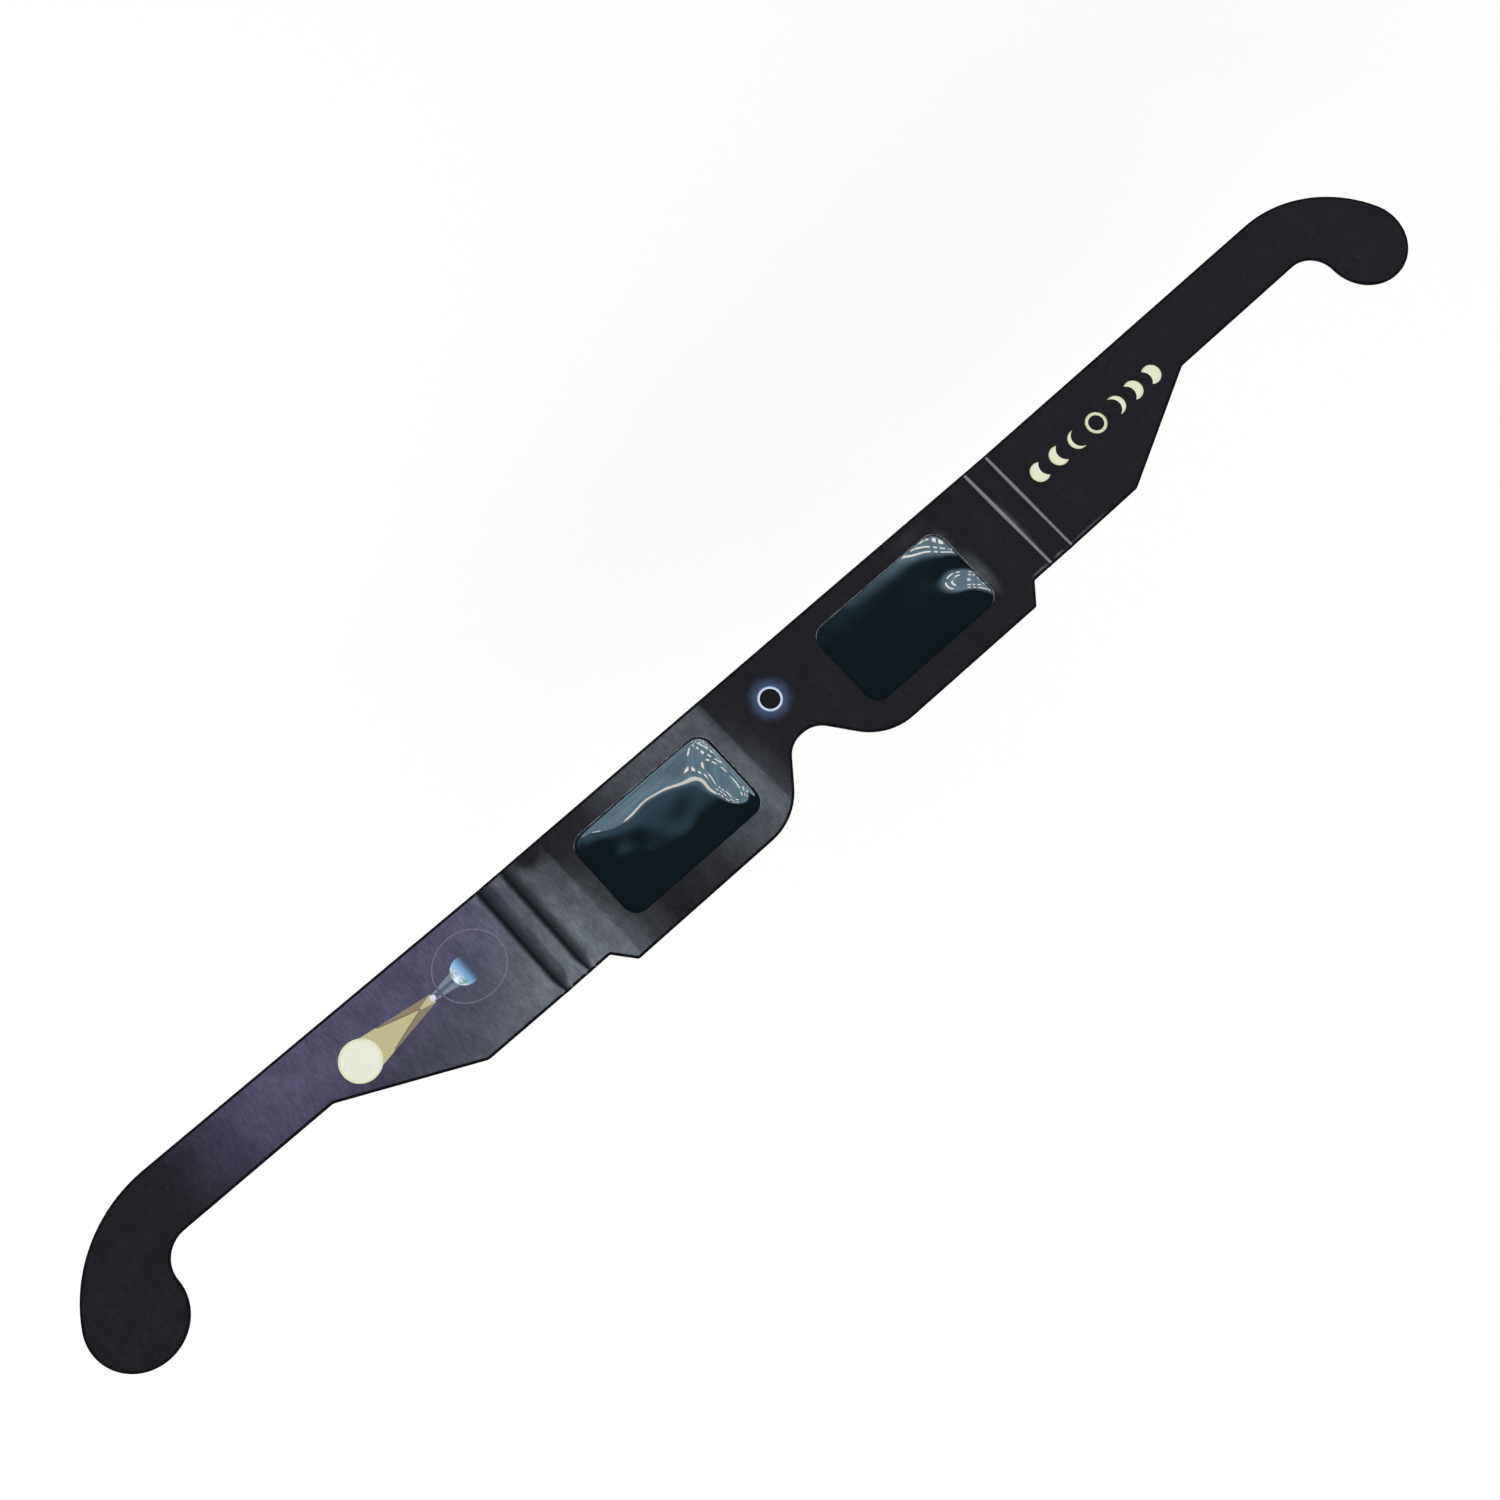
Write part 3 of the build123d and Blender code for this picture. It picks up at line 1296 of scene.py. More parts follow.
@dataclass
class CreaseSheet:
    """One living hinge: the trough pressed into the front, and the rounded bead that it raises on the back.

    The trough is shallower at both ends of the crease: a share of its depth there, and full past a taper.
    """

    side: Side
    fold: Fold
    depth: float
    columns: int = 26
    rows: int = 56
    lower_share: float = 0.3
    lower_taper: float = 4.2
    upper_share: float = 0.6
    upper_taper: float = 1.4
    bulge_spread: Pair = (0.5, 2.2)
    smooth_angle: float = 42

    def build(self, finishes: Finishes) -> bpy.types.Object:
        """Builds and dresses the crease.

        Args:
            finishes: The shared materials.

        Returns:
            The finished piece.
        """
        height, middle_y = CARD.brow - CARD.strip_foot, (CARD.brow + CARD.strip_foot) / 2
        piece = new_piece(
            f"{self.side.word}_{self.fold.word}_fold_sheet",
            bpy.ops.mesh.primitive_grid_add,
            x_subdivisions=self.columns,
            y_subdivisions=self.rows,
            size=1.0,
        )
        bpy.ops.transform.resize(value=(2 * CARD.groove_half * MM, height * MM, 1))
        move(self.side.value * self.fold.value, middle_y, CARD.front)
        extrude(-CARD.thickness)
        close_edit()
        self.press(piece)
        outward(piece)
        crush_edges(piece, CARD.crush, self.ends)
        self.keep_place(piece)
        reach = height / 2 - CARD.crush - CARD.rim
        mark_outline_band(piece, [abs(face.center.y / MM - middle_y) > reach for face in piece.data.polygons])
        dress_sheet(piece, finishes.of_folds)
        smooth(piece, self.smooth_angle)
        self.join_bodies(piece)
        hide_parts(f"{self.side.word}_{self.fold.word}_crease")
        return piece

    @property
    def ends(self) -> Pair:
        """Where the crease joins the panels on both sides, the inner one first, in mm along X."""
        inner, outer = (self.side.value * (self.fold.value + end * CARD.groove_half) for end in (-1, 1))
        return inner, outer

    def press(self, piece: bpy.types.Object) -> None:
        """Presses the trough into the front, and rolls the bead out of the back.

        Args:
            piece: The flat sheet.
        """
        points = points_mm(piece)
        away = self.side.value * points[:, 0] - self.fold.value
        on_front = points[:, 2] > (CARD.front + CARD.back) / 2
        low = ramp(points[:, 1] - CARD.strip_foot, 0, self.lower_taper)
        high = ramp(CARD.brow - points[:, 1], 0, self.upper_taper)
        share = self.lower_share + (1 - self.lower_share) * low
        share *= self.upper_share + (1 - self.upper_share) * high
        radius = (CARD.groove_half**2 + self.depth**2) / (2 * self.depth)
        trough = self.depth - radius + np.sqrt(np.maximum(radius**2 - away**2, 0))
        full, none = (CARD.bead_radius * spread for spread in self.bulge_spread)
        bulge = (CARD.back - CARD.axis_height + CARD.bead_radius) * (1 - ramp(np.abs(away), full, none))
        points[:, 2] = np.where(on_front, CARD.front - share * np.maximum(trough, 0), CARD.back - bulge)
        if self.fold is Fold.OUTER:
            points[:, 1] += np.maximum(away, 0) * math.tan(CARD.arm_rise)
        place_points(piece, points)

    @staticmethod
    def keep_place(piece: bpy.types.Object) -> None:
        """Writes each point's place at rest on the card, so that the print stays with the bending sheet."""
        attribute = piece.data.attributes.new(Place.CARRIED.value, "FLOAT_VECTOR", "POINT")
        attribute.data.foreach_set("vector", (points_mm(piece) * MM).astype(np.float32).ravel())

    def join_bodies(self, piece: bpy.types.Object) -> None:
        """Bakes the sheet's transform into its points.

        Args:
            piece: The finished sheet.
        """
        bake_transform(piece)


@dataclass
class BackPatch:
    """The plain ply that doubles a lens panel from behind."""

    side: Side
    crush: float = 0.10

    def build(self, finishes: Finishes) -> bpy.types.Object:
        """Builds and dresses the patch.

        Args:
            finishes: The shared materials.

        Returns:
            The finished piece.
        """
        node = f"{self.side.word}_back_patch"
        piece = copy_of_node(node, f"{self.side.word}_patch_board")
        crush_edges(piece, self.crush)
        piece.data.materials.append(finishes.plain)
        piece.data.materials.append(finishes.cut)
        for face in piece.data.polygons:
            face.material_index = 1 if abs(face.normal.z) < CARD.steep else 0
        smooth(piece)
        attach(piece, "front")
        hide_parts(node)
        return piece


# The films


@dataclass(frozen=True)
class Zone:
    """A part of a film's window, in mm, and how much its sights count."""

    left: float
    right: float
    low: float
    high: float
    weight: float


@dataclass
class LensFilm:
    """A dark film, held round its rim and loose enough in its window to swell.

    The swell is a sum of standing waves, as in a drum skin, and runs out level to the card over the width of
    the lip. How tall each wave stands is worked out from sights. They were guessed from the bands and dots
    that the photograph shows mirrored, and changed in trials until the look was near it. At some levels of
    the film they say, from left to right: a place along X, and how far along the bank and how far up the
    part of the ceiling lies that is seen mirrored there. Both are tangents, counted from what a flat film
    would mirror where from_flat is set. Places along the bank count more than those up it, and the dark below
    it counts less.
    """

    side: Side
    lip: float
    stiffness: float
    sights: Sights
    from_flat: bool = False
    zones: tuple[Zone, ...] = ()
    waves: tuple[int, int] = (12, 7)
    dark_bank: float = 0.17
    dark_weight: float = 0.3
    bank_weight: float = 3.0
    sight_pitch: float = 1.0
    sight_margin: float = 0.4
    slope_step: float = 0.03
    size: Pair = (40.7, 25.0)
    corner: float = 1.0
    thickness: float = 0.08
    level: float = 0.53
    columns: int = 250
    rows: int = 154

    def build(self, finishes: Finishes) -> bpy.types.Object:
        """Builds and dresses the film.

        Args:
            finishes: The shared materials.

        Returns:
            The finished piece.
        """
        piece = new_piece(
            f"{self.side.word}_film_sheet",
            bpy.ops.mesh.primitive_grid_add,
            x_subdivisions=self.columns,
            y_subdivisions=self.rows,
            size=1.0,
        )
        bpy.ops.transform.resize(value=(self.size[0] * MM, self.size[1] * MM, 1))
        move(*self.middle, self.level)
        close_edit()
        points = self.round_corners(points_mm(piece))
        points[:, 2] += self.waves_at(points[:, :2]) @ self.heights()
        place_points(piece, points)
        apply_modifier(piece, "SOLIDIFY", thickness=self.thickness * MM, offset=0.0)
        piece.data.materials.append(finishes.film)
        smooth(piece)
        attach(piece, "front")
        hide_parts(f"{self.side.word}_lens_film")
        return piece

    @property
    def middle(self) -> np.ndarray:
        """The window's middle, in mm."""
        return np.array([self.side.value * CARD.window_middle[0], CARD.window_middle[1]])

    def round_corners(self, points: np.ndarray) -> np.ndarray:
        """Draws the film's corners in to their radius.

        Args:
            points: The film's points, in mm.

        Returns:
            The points, those past a corner's arc now on it.
        """
        limit = np.array(self.size) / 2 - self.corner
        from_middle = points[:, :2] - self.middle
        inner = np.clip(from_middle, -limit, limit)
        beyond = from_middle - inner
        length = np.linalg.norm(beyond, axis=1)
        shrink = np.minimum(self.corner / np.maximum(length, self.corner), 1.0)
        points[:, :2] = self.middle + inner + beyond * shrink[:, None]
        return points

    def inside(self, places: np.ndarray) -> np.ndarray:
        """How far some places lie inside the window's edge.

        Args:
            places: The places, in mm.

        Returns:
            The distances, in mm, 0 for a place outside.
        """
        over = np.abs(places - self.middle) - (np.array(CARD.window_size) / 2 - CARD.window_radius)
        outside = np.linalg.norm(np.maximum(over, 0), axis=1)
        return np.maximum(CARD.window_radius - outside - np.minimum(over.max(axis=1), 0), 0)

    def waves_at(self, places: np.ndarray) -> np.ndarray:
        """Every wave's height at some places, as if each stood 1 mm tall.

        Args:
            places: The places, in mm.

        Returns:
            The heights, a row for each place and a column for each wave.
        """
        share = (places - self.middle) / CARD.window_size + 0.5
        across, up = (
            np.sin(math.pi * np.outer(share[:, axis], np.arange(1, count + 1)))
            for axis, count in enumerate(self.waves)
        )
        waves = (across[:, :, None] * up[:, None, :]).reshape(len(places), -1)
        return waves * ramp(self.inside(places), 0, self.lip)[:, None]

    def all_over(self) -> tuple[np.ndarray, np.ndarray]:
        """Spreads the sights evenly over the window, along each level and then between the levels.

        Returns:
            The places, in mm, and what is mirrored there: how far along the bank, and how far up.
        """
        x, y = (
            np.arange(middle - reach, middle + reach, self.sight_pitch)
            for middle, reach in zip(self.middle, np.array(CARD.window_size) / 2 - self.sight_margin)
        )
        levels = sorted(self.sights)
        rows = [np.array(self.sights[level]).T for level in levels]
        mirrored = []
        for part in (1, 2):
            along_levels = np.array([np.interp(x, row[0], row[part]) for row in rows])
            mirrored.append([np.interp(y, levels, column) for column in along_levels.T])
        places = np.stack(np.meshgrid(x, y, indexing="ij"), -1).reshape(-1, 2)
        within = self.inside(places) > self.sight_margin
        return places[within], np.stack(mirrored, -1).reshape(-1, 2)[within]

    def heights(self) -> np.ndarray:
        """Works out how tall each wave stands, by least squares, for the film to mirror what the sights say.

        A film that leans by a slope mirrors a place that lies twice as far aside. Short waves are held down
        in proportion to the film's stiffness, so that it stays smooth.

        Returns:
            The waves' heights, in mm.
        """
        places, mirrored = self.all_over()
        bank = np.array([math.cos(BANK_TURN), math.sin(BANK_TURN)])
        from_eye = (places - CAMERA_PLACE[:2]) / CAMERA_PLACE[2]
        flat = np.stack([from_eye @ bank, from_eye[:, 1]], -1)
        lean = -mirrored / 2 if self.from_flat else (flat - mirrored) / 2
        slopes = [
            (self.waves_at(places + aside) - self.waves_at(places - aside)) / (2 * self.slope_step)
            for aside in np.eye(2) * self.slope_step
        ]
        weight = self.weights(places, (flat - 2 * lean)[:, 0])[:, None]
        along, up = (np.arange(1, count + 1) / size for count, size in zip(self.waves, CARD.window_size))
        shortness = (along[:, None] ** 2 + up[None, :] ** 2).ravel()
        along_bank = (bank[0] * slopes[0] + bank[1] * slopes[1]) * weight * self.bank_weight
        equations = np.vstack([along_bank, slopes[1] * weight, np.diag(self.stiffness * shortness)])
        wanted = lean * weight * (self.bank_weight, 1)
        results = np.concatenate([wanted[:, 0], wanted[:, 1], np.zeros(len(shortness))])
        return np.linalg.lstsq(equations, results, rcond=None)[0]

    def weights(self, places: np.ndarray, bank: np.ndarray) -> np.ndarray:
        """How much each sight counts.

        Args:
            places: The sights' places, in mm.
            bank: How far along the bank they look.

        Returns:
            The weights.
        """
        weight = np.ones(len(places))
        for zone in self.zones:
            inside = (places > (zone.left, zone.low)) & (places < (zone.right, zone.high))
            weight[inside.all(axis=1)] = zone.weight
        weight[bank < self.dark_bank] = self.dark_weight
        return weight


# The printed figures


@dataclass
class FigureShop:
    """Lays thin coats of ink on the card: discs, rings, crescents and wedges.

    A figure rides on a body, at the level of the card's front there. It stands higher by a coat for each ink
    that lies under it, and goes a little way into the card. All sizes are in mm.
    """

    body: str
    level: float
    coat: float = 0.004
    sunk: float = 0.002

    def lay(
        self, piece: bpy.types.Object, name: str, coat: int, material: bpy.types.Material
    ) -> bpy.types.Object:
        """Thickens a flat figure to a coat of ink, and fixes it to the card.

        Args:
            piece: The flat figure, at the card's level.
            name: Its name.
            coat: How many coats lie under it, plus one.
            material: Its ink.

        Returns:
            The finished figure.
        """
        rename(piece, name)
        edit_all(piece)
        extrude(self.coat * coat + self.sunk)
        bpy.ops.mesh.select_all(action="SELECT")
        move(0, 0, -self.sunk)
        close_edit()
        outward(piece)
        piece.data.materials.clear()
        piece.data.materials.append(material)
        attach(piece, self.body)
        LOG.info("figure %s on %s", name, self.body)
        return piece

    def disc(self, x: float, y: float, radius: float, points: int = 96) -> bpy.types.Object:
        """A flat disc.

        Args:
            x: Its middle along X, in mm.
            y: Its middle along Y, in mm.
            radius: Its radius, in mm.
            points: How many points its rim has.

        Returns:
            The flat figure.
        """
        add = bpy.ops.mesh.primitive_circle_add
        piece = new_piece("disc", add, vertices=points, radius=radius * MM, fill_type="NGON")
        move(x, y, self.level)
        close_edit()
        return piece

    def ring(
        self, x: float, y: float, radius: float, width: float, squash: float = 1.0, points: int = 128
    ) -> bpy.types.Object:
        """A flat ring, or an oval one.

        Args:
            x: Its middle along X, in mm.
            y: Its middle along Y, in mm.
            radius: Its outer radius, in mm.
            width: The width of its band, in mm.
            squash: Its height as a share of its width.
            points: How many points its rim has.

        Returns:
            The flat figure.
        """
        add = bpy.ops.mesh.primitive_circle_add
        piece = new_piece("ring", add, vertices=points, radius=radius * MM, fill_type="NGON")
        bpy.ops.mesh.inset(thickness=width * MM, depth=0)
        bpy.ops.mesh.delete(type="FACE")
        bpy.ops.mesh.select_all(action="SELECT")
        bpy.ops.transform.resize(value=(1, squash, 1))
        move(x, y, self.level)
        close_edit()
        return piece

    def crescent(self, x: float, y: float, radius: float, shift: float) -> bpy.types.Object:
        """A disc with a bite out of it, made by an equal disc that is moved aside.

        Args:
            x: Its middle along X, in mm.
            y: Its middle along Y, in mm.
            radius: Its radius, in mm.
            shift: How far the bite's middle lies along X, in mm.

        Returns:
            The flat figure.
        """
        points, bite_share, bite_reach, downwards = 72, 1.001, 0.5, -0.9
        solid = self.disc(x, y, radius, points)
        bite = self.disc(x + shift, y, radius * bite_share, points)
        for piece, low, high in ((solid, 0.0, self.coat), (bite, -bite_reach, bite_reach)):
            edit_all(piece)
            move(0, 0, low)
            extrude(high - low)
            close_edit()
            outward(piece)
        apply_modifier(solid, "BOOLEAN", object=bite, operation="DIFFERENCE", solver="EXACT")
        bpy.data.objects.remove(bite)
        pick(solid, lambda centre, normal: normal.z > downwards)
        bpy.ops.mesh.delete(type="FACE")
        close_edit()
        return solid

    def wedge(self, left: float, right: float, left_span: Pair, right_span: Pair) -> bpy.types.Object:
        """A flat shape with two upright sides, each from its lower to its upper end.

        Args:
            left: Where its left side is along X, in mm.
            right: Where its right side is along X, in mm.
            left_span: The lower and upper end of its left side along Y, in mm.
            right_span: The same of its right side.

        Returns:
            The flat figure.
        """
        piece = new_piece("wedge", bpy.ops.mesh.primitive_plane_add, size=2 * MM)
        close_edit()
        points = points_mm(piece)
        for row in points:
            x, (low, high) = (left, left_span) if row[0] < 0 else (right, right_span)
            row[:] = (x, low if row[1] < 0 else high, self.level)
        place_points(piece, points)
        return piece


@dataclass
class ArmDiagram:
    """The printed diagram on the left arm: a sun, its light, a moon, its shadow, a globe and an orbit.

    The round figures are given by their middle and radius, the orbit by its middle and its two radii, in mm.
    The light narrows from the sun on. From the band's start it has a darker rim, inside which it narrows
    further to a crossing and fans out again up to the moon.
    """

    line: float = 4.83
    sun: Triple = (-110.56, 4.78, 4.42)
    moon: Triple = (-92.1, 4.88, 0.70)
    globe: Triple = (-83.8, 4.83, 3.0)
    orbit: tuple[float, float, float, float] = (-82.56, 4.89, 7.9, 7.15)
    orbit_width: float = 0.2
    light_start: Pair = (-107.5, 3.5)
    light_fall: float = 0.1623
    light_root: float = -109.56
    band_start: float = -104.2
    crossing: float = -95.3
    crossing_half: float = 0.1
    crossing_overlap: float = 0.4
    line_width: float = 0.3
    half_shadow: Pair = (0.7, 2.05)
    full_shadow: Pair = (0.5, 0.25)

    def light(self, x: float) -> float:
        """Half the height of the light at a place along X, both in mm."""
        return self.light_start[1] - (x - self.light_start[0]) * self.light_fall

    def span(self, low: float, high: float | None = None) -> Pair:
        """From a distance below the diagram's line to the same above it, or between two distances above."""
        return (self.line - low, self.line + low) if high is None else (self.line + low, self.line + high)

    def build(self) -> list[bpy.types.Object]:
        """Lays the figures.

        Returns:
            The finished figures.
        """
        shop = FigureShop("left_arm", CARD.front)
        tints = {
            "tan": FlatInk("#b6b088"),
            "rust": FlatInk("#857a66"),
            "cream": FlatInk("#dcdecd", "#d2d3b4", self.sun[:2], self.sun[2]),
            "shadow": FlatInk("#757e90"),
            "umbra": FlatInk("#575c6e"),
            "brown": FlatInk("#776853"),
            "orbit": FlatInk("#736d82"),
            "moon": FlatInk("#cfd1dc", "#8d90a8", self.moon[:2], self.moon[2]),
            "globe": GlobeInk(self.globe[0]),
        }
        inks = {name: tint.made(f"ink_{name}") for name, tint in tints.items()}
        root, start, crossing = self.light_root, self.band_start, self.crossing
        orbit_x, orbit_y, orbit_reach, orbit_rise = self.orbit
        moon_x, globe_x = self.moon[0], self.globe[0]
        wide, near, far = (self.light(x) for x in (root, start, moon_x))
        thin, line = self.span(self.crossing_half), near - self.line_width
        half, full = (map(self.span, shadow) for shadow in (self.half_shadow, self.full_shadow))
        overlap = crossing - self.crossing_overlap
        orbit = shop.ring(orbit_x, orbit_y, orbit_reach, self.orbit_width, orbit_rise / orbit_reach)
        flats = (
            ("orbit_line", 1, "orbit", orbit),
            ("light_rim", 1, "rust", shop.wedge(start, moon_x, self.span(near), self.span(far))),
            ("light_root", 2, "tan", shop.wedge(root, start, self.span(wide), self.span(near))),
            ("light_cone", 2, "tan", shop.wedge(start, crossing, self.span(near), thin)),
            ("light_fan", 3, "tan", shop.wedge(overlap, moon_x, thin, self.span(far))),
            ("upper_light_line", 4, "brown", shop.wedge(start, crossing, self.span(line, near), thin)),
            ("lower_light_line", 4, "brown", shop.wedge(start, crossing, self.span(-near, -line), thin)),
            ("half_shadow", 1, "shadow", shop.wedge(moon_x, globe_x, *half)),
            ("full_shadow", 2, "umbra", shop.wedge(moon_x, globe_x, *full)),
            ("sun_disc", 5, "cream", shop.disc(*self.sun)),
            ("moon_disc", 5, "moon", shop.disc(*self.moon, 48)),
            ("globe_disc", 5, "globe", shop.disc(*self.globe)),
        )
        return [shop.lay(flat, name, coat, inks[ink]) for name, coat, ink, flat in flats]


@dataclass
class PhaseRow:
    """The row of seven phases on the right arm, waning to a ring and waxing again."""

    middles: tuple[float, ...] = (78.23, 84.03, 89.83, 95.6, 101.77, 107.27, 112.97)
    shifts: tuple[float | None, ...] = (2.6, 2.15, 1.0, None, -1.2, -2.15, -2.7)
    line: float = 4.78
    rise: float = 0.0063
    radius: float = 2.27
    ring_radius: float = 2.48
    ring_width: float = 0.68

    def build(self) -> list[bpy.types.Object]:
        """Lays the figures.

        Returns:
            The finished figures.
        """
        shop = FigureShop("right_arm", CARD.front)
        made = []
        for number, (x, shift) in enumerate(zip(self.middles, self.shifts), 1):
            y = self.line + self.rise * (x - self.middles[0])
            ink = FlatInk("#dcdcc3", "#c8c7a6", (x, y), self.radius).made(f"ink_phase_{number}")
            if shift is None:
                flat = shop.ring(x, y, self.ring_radius, self.ring_width, points=96)
            else:
                flat = shop.crescent(x, y, self.radius, shift)
            made.append(shop.lay(flat, f"phase_{number}", 1, ink))
        return made


@dataclass
class BridgeRing:
    """The covered sun on the bridge: a black disc in a thin bright ring, which reaches in under it."""

    disc_radius: float = 2.2
    ring_radius: float = 2.72
    overlap: float = 0.1
    drop: float = 0.06

    def build(self) -> list[bpy.types.Object]:
        """Lays the figures.

        Returns:
            The finished figures.
        """
        shop = FigureShop("front", CARD.front - self.drop)
        bright = FlatInk("#d6e5f2", "#8da2c0", RING_MIDDLE, self.ring_radius).made("ink_ring")
        black = FlatInk("#17171a", "#141417", RING_MIDDLE, self.disc_radius).made("ink_black_disc")
        width = self.ring_radius - self.disc_radius + self.overlap
        return [
            shop.lay(shop.ring(*RING_MIDDLE, self.ring_radius, width, points=96), "bridge_ring", 1, bright),
            shop.lay(shop.disc(*RING_MIDDLE, self.disc_radius), "bridge_disc", 2, black),
        ]


# The studio


@dataclass(frozen=True)
class Louvre:
    """A ceiling lamp of bright cells in a grid. Its sizes are tangents, along the bank and across it."""

    name: str
    along: float
    across: float
    rows: int
    columns: int
    row: float
    column: float
    gap: float
    strength: float


@dataclass
class Studio:
    """A white paper floor in even light, under a dark ceiling that only glossy surfaces show.

    Directions in the ceiling are given as tangents from straight up: how far aside for each unit of height.
    The bank of the ceiling that glows, and the lamps at its edge, lie square to one direction, to the upper
    right. Before the bank the ceiling brightens a little from dark to navy, along a line that leans another
    way.
    Lengths are in metres here.
    """

    floor_drop: float = 0.125
    floor_size: float = 12.0
    surround: float = 0.90
    height: float = 2.0
    reach: float = 7.0
    lamp_drop: float = 0.005
    dark: Colour = (0.03, 0.05, 0.06, 1)
    navy: Colour = (0.40, 0.78, 1.08, 1)
    pale: Colour = (1.75, 2.75, 3.45, 1)
    lamp_light: Colour = (1.0, 0.96, 0.89, 1)
    navy_lean: float = 0.2
    navy_start: Change = (0.195, 0.325)
    bank_start: Change = (0.330, 0.366)
    bank_end: Change = (0.62, 0.85)
    bank_patches: Change = (0.3, 0.7, 0.74, 1.16)
    patch_spacing: Triple = (120, 120, 120)
    louvres: tuple[Louvre, ...] = (
        Louvre("fine_louvre", 0.352, -0.36, 3, 5, 0.025, 0.042, 0.0088, 13.0),
        Louvre("wide_louvre", 0.378, -0.144, 2, 4, 0.032, 0.047, 0.0115, 13.0),
        Louvre("long_strip", 0.352, -0.144, 1, 1, 0.016, 0.269, 0.001, 10.0),
        Louvre("short_strip", 0.352, 0.17, 1, 1, 0.016, 0.04, 0.001, 10.0),
    )
    side_place: Triple = (-1.5, -1.1, 1.2)
    side_size: float = 1.2
    side_power: float = 22.0
    sensor_width: float = 36.0
    focal_length: float = 48.0

    def build(self) -> None:
        """Sets up the floor, the lights and the camera."""
        self.floor()
        self.world()
        self.ceiling()
        for louvre in self.louvres:
            self.lamp(louvre)
        self.side_light()
        self.camera()

    def floor(self) -> None:
        """Lays the paper low enough for the arms to fold down above it."""
        paper = new_piece("paper_floor", bpy.ops.mesh.primitive_plane_add, size=self.floor_size)
        bpy.ops.transform.translate(value=(0, 0, -self.floor_drop))
        close_edit()
        paper.data.materials.append(StudioPaper().made("background_paper"))

    def world(self) -> None:
        """An even white surround."""
        world = bpy.data.worlds.new("white_surround")
        bpy.context.scene.world = world
        world.use_nodes = True
        background = world.node_tree.nodes["Background"]
        background.inputs["Color"].default_value = (1, 1, 1, 1)
        background.inputs["Strength"].default_value = self.surround

    @staticmethod
    def mirrored_only(piece: bpy.types.Object) -> None:
        """Lets a piece of the studio show in glossy surfaces only, so that it lights and shades nothing.

        Args:
            piece: The piece.
        """
        piece.visible_camera = False
        piece.visible_diffuse = False
        piece.visible_shadow = False

    @staticmethod
    def glow(bench: FinishBench, colour: NodeValue, strength: float) -> bpy.types.Material:
        """A black material that gives light of a colour."""
        return bench.feed(Base_Color=(0, 0, 0, 1), Emission_Color=colour, Emission_Strength=strength)

    def ceiling(self) -> None:
        """The dark ceiling, with a bank of it aglow in grey-blue."""
        ceiling = new_piece("dark_ceiling", bpy.ops.mesh.primitive_plane_add, size=self.reach)
        bpy.ops.transform.translate(value=(0, 0, self.height))
        close_edit()
        bench = FinishBench("ceiling_glow")
        aside, above = (bench.maths("MULTIPLY", place, MM / self.height) for place in (bench.x, bench.y))
        bank = bench.maths("MULTIPLY", aside, math.cos(BANK_TURN))
        bank = bench.maths("MULTIPLY_ADD", above, math.sin(BANK_TURN), bank)
        leaning = bench.maths("MULTIPLY_ADD", aside, self.navy_lean, above)
        patches = bench.step(bench.grain(self.patch_spacing, seed=8), *self.bank_patches)
        colour = bench.blend(bench.step(leaning, *self.navy_start), self.dark, self.navy)
        colour = bench.blend(bench.step(bank, *self.bank_start), colour, bench.scaled(self.pale, patches))
        colour = bench.blend(bench.step(bank, *self.bank_end), colour, self.dark)
        bench.feed(Specular_IOR_Level=0.0)
        ceiling.data.materials.append(self.glow(bench, colour, 1.0))
        self.mirrored_only(ceiling)

    def lamp(self, louvre: Louvre) -> None:
        """Hangs one lamp from the ceiling, turned to lie along the bank.

        Args:
            louvre: The lamp.
        """
        depth, length = louvre.rows * louvre.row * self.height, louvre.columns * louvre.column * self.height
        piece = new_piece(
            louvre.name,
            bpy.ops.mesh.primitive_grid_add,
            x_subdivisions=louvre.rows,
            y_subdivisions=louvre.columns,
            size=1.0,
        )
        bpy.ops.transform.resize(value=(depth, length, 1))
        bpy.ops.mesh.inset(thickness=louvre.gap * self.height, use_individual=True)
        bpy.ops.mesh.select_all(action="INVERT")
        bpy.ops.mesh.delete(type="FACE")
        bpy.ops.mesh.select_all(action="SELECT")
        corner = Vector((louvre.along, louvre.across, 1)) * self.height
        bpy.ops.transform.translate(value=corner + Vector((depth / 2, length / 2, -self.lamp_drop)))
        bpy.ops.transform.rotate(value=-BANK_TURN, orient_axis="Z", center_override=(0, 0, 0))
        close_edit()
        bench = FinishBench(f"{louvre.name}_glow")
        piece.data.materials.append(self.glow(bench, self.lamp_light, louvre.strength))
        self.mirrored_only(piece)
        LOG.info("%s hung", piece.name)

    def side_light(self) -> None:
        """A broad soft light from the lower left, which catches the edges and creases."""
        light = bpy.data.lights.new("side_light", "AREA")
        light.shape = "RECTANGLE"
        light.size = light.size_y = self.side_size
        light.energy = self.side_power
        lamp = bpy.data.objects.new("side_light", light)
        bpy.context.scene.collection.objects.link(lamp)
        lamp.location = self.side_place
        lamp.rotation_euler = (-Vector(self.side_place)).to_track_quat("-Z", "Y").to_euler()

    def camera(self) -> None:
        """Puts the camera where the photograph was taken from."""
        data = bpy.data.cameras.new("camera")
        data.sensor_width = self.sensor_width
        data.lens = self.focal_length
        data.clip_start = 0.01
        camera = bpy.data.objects.new("camera", data)
        bpy.context.scene.collection.objects.link(camera)
        camera.location = Vector(CAMERA_PLACE) * MM
        camera.rotation_euler = CAMERA_TURN
        bpy.context.scene.camera = camera


# Putting it together


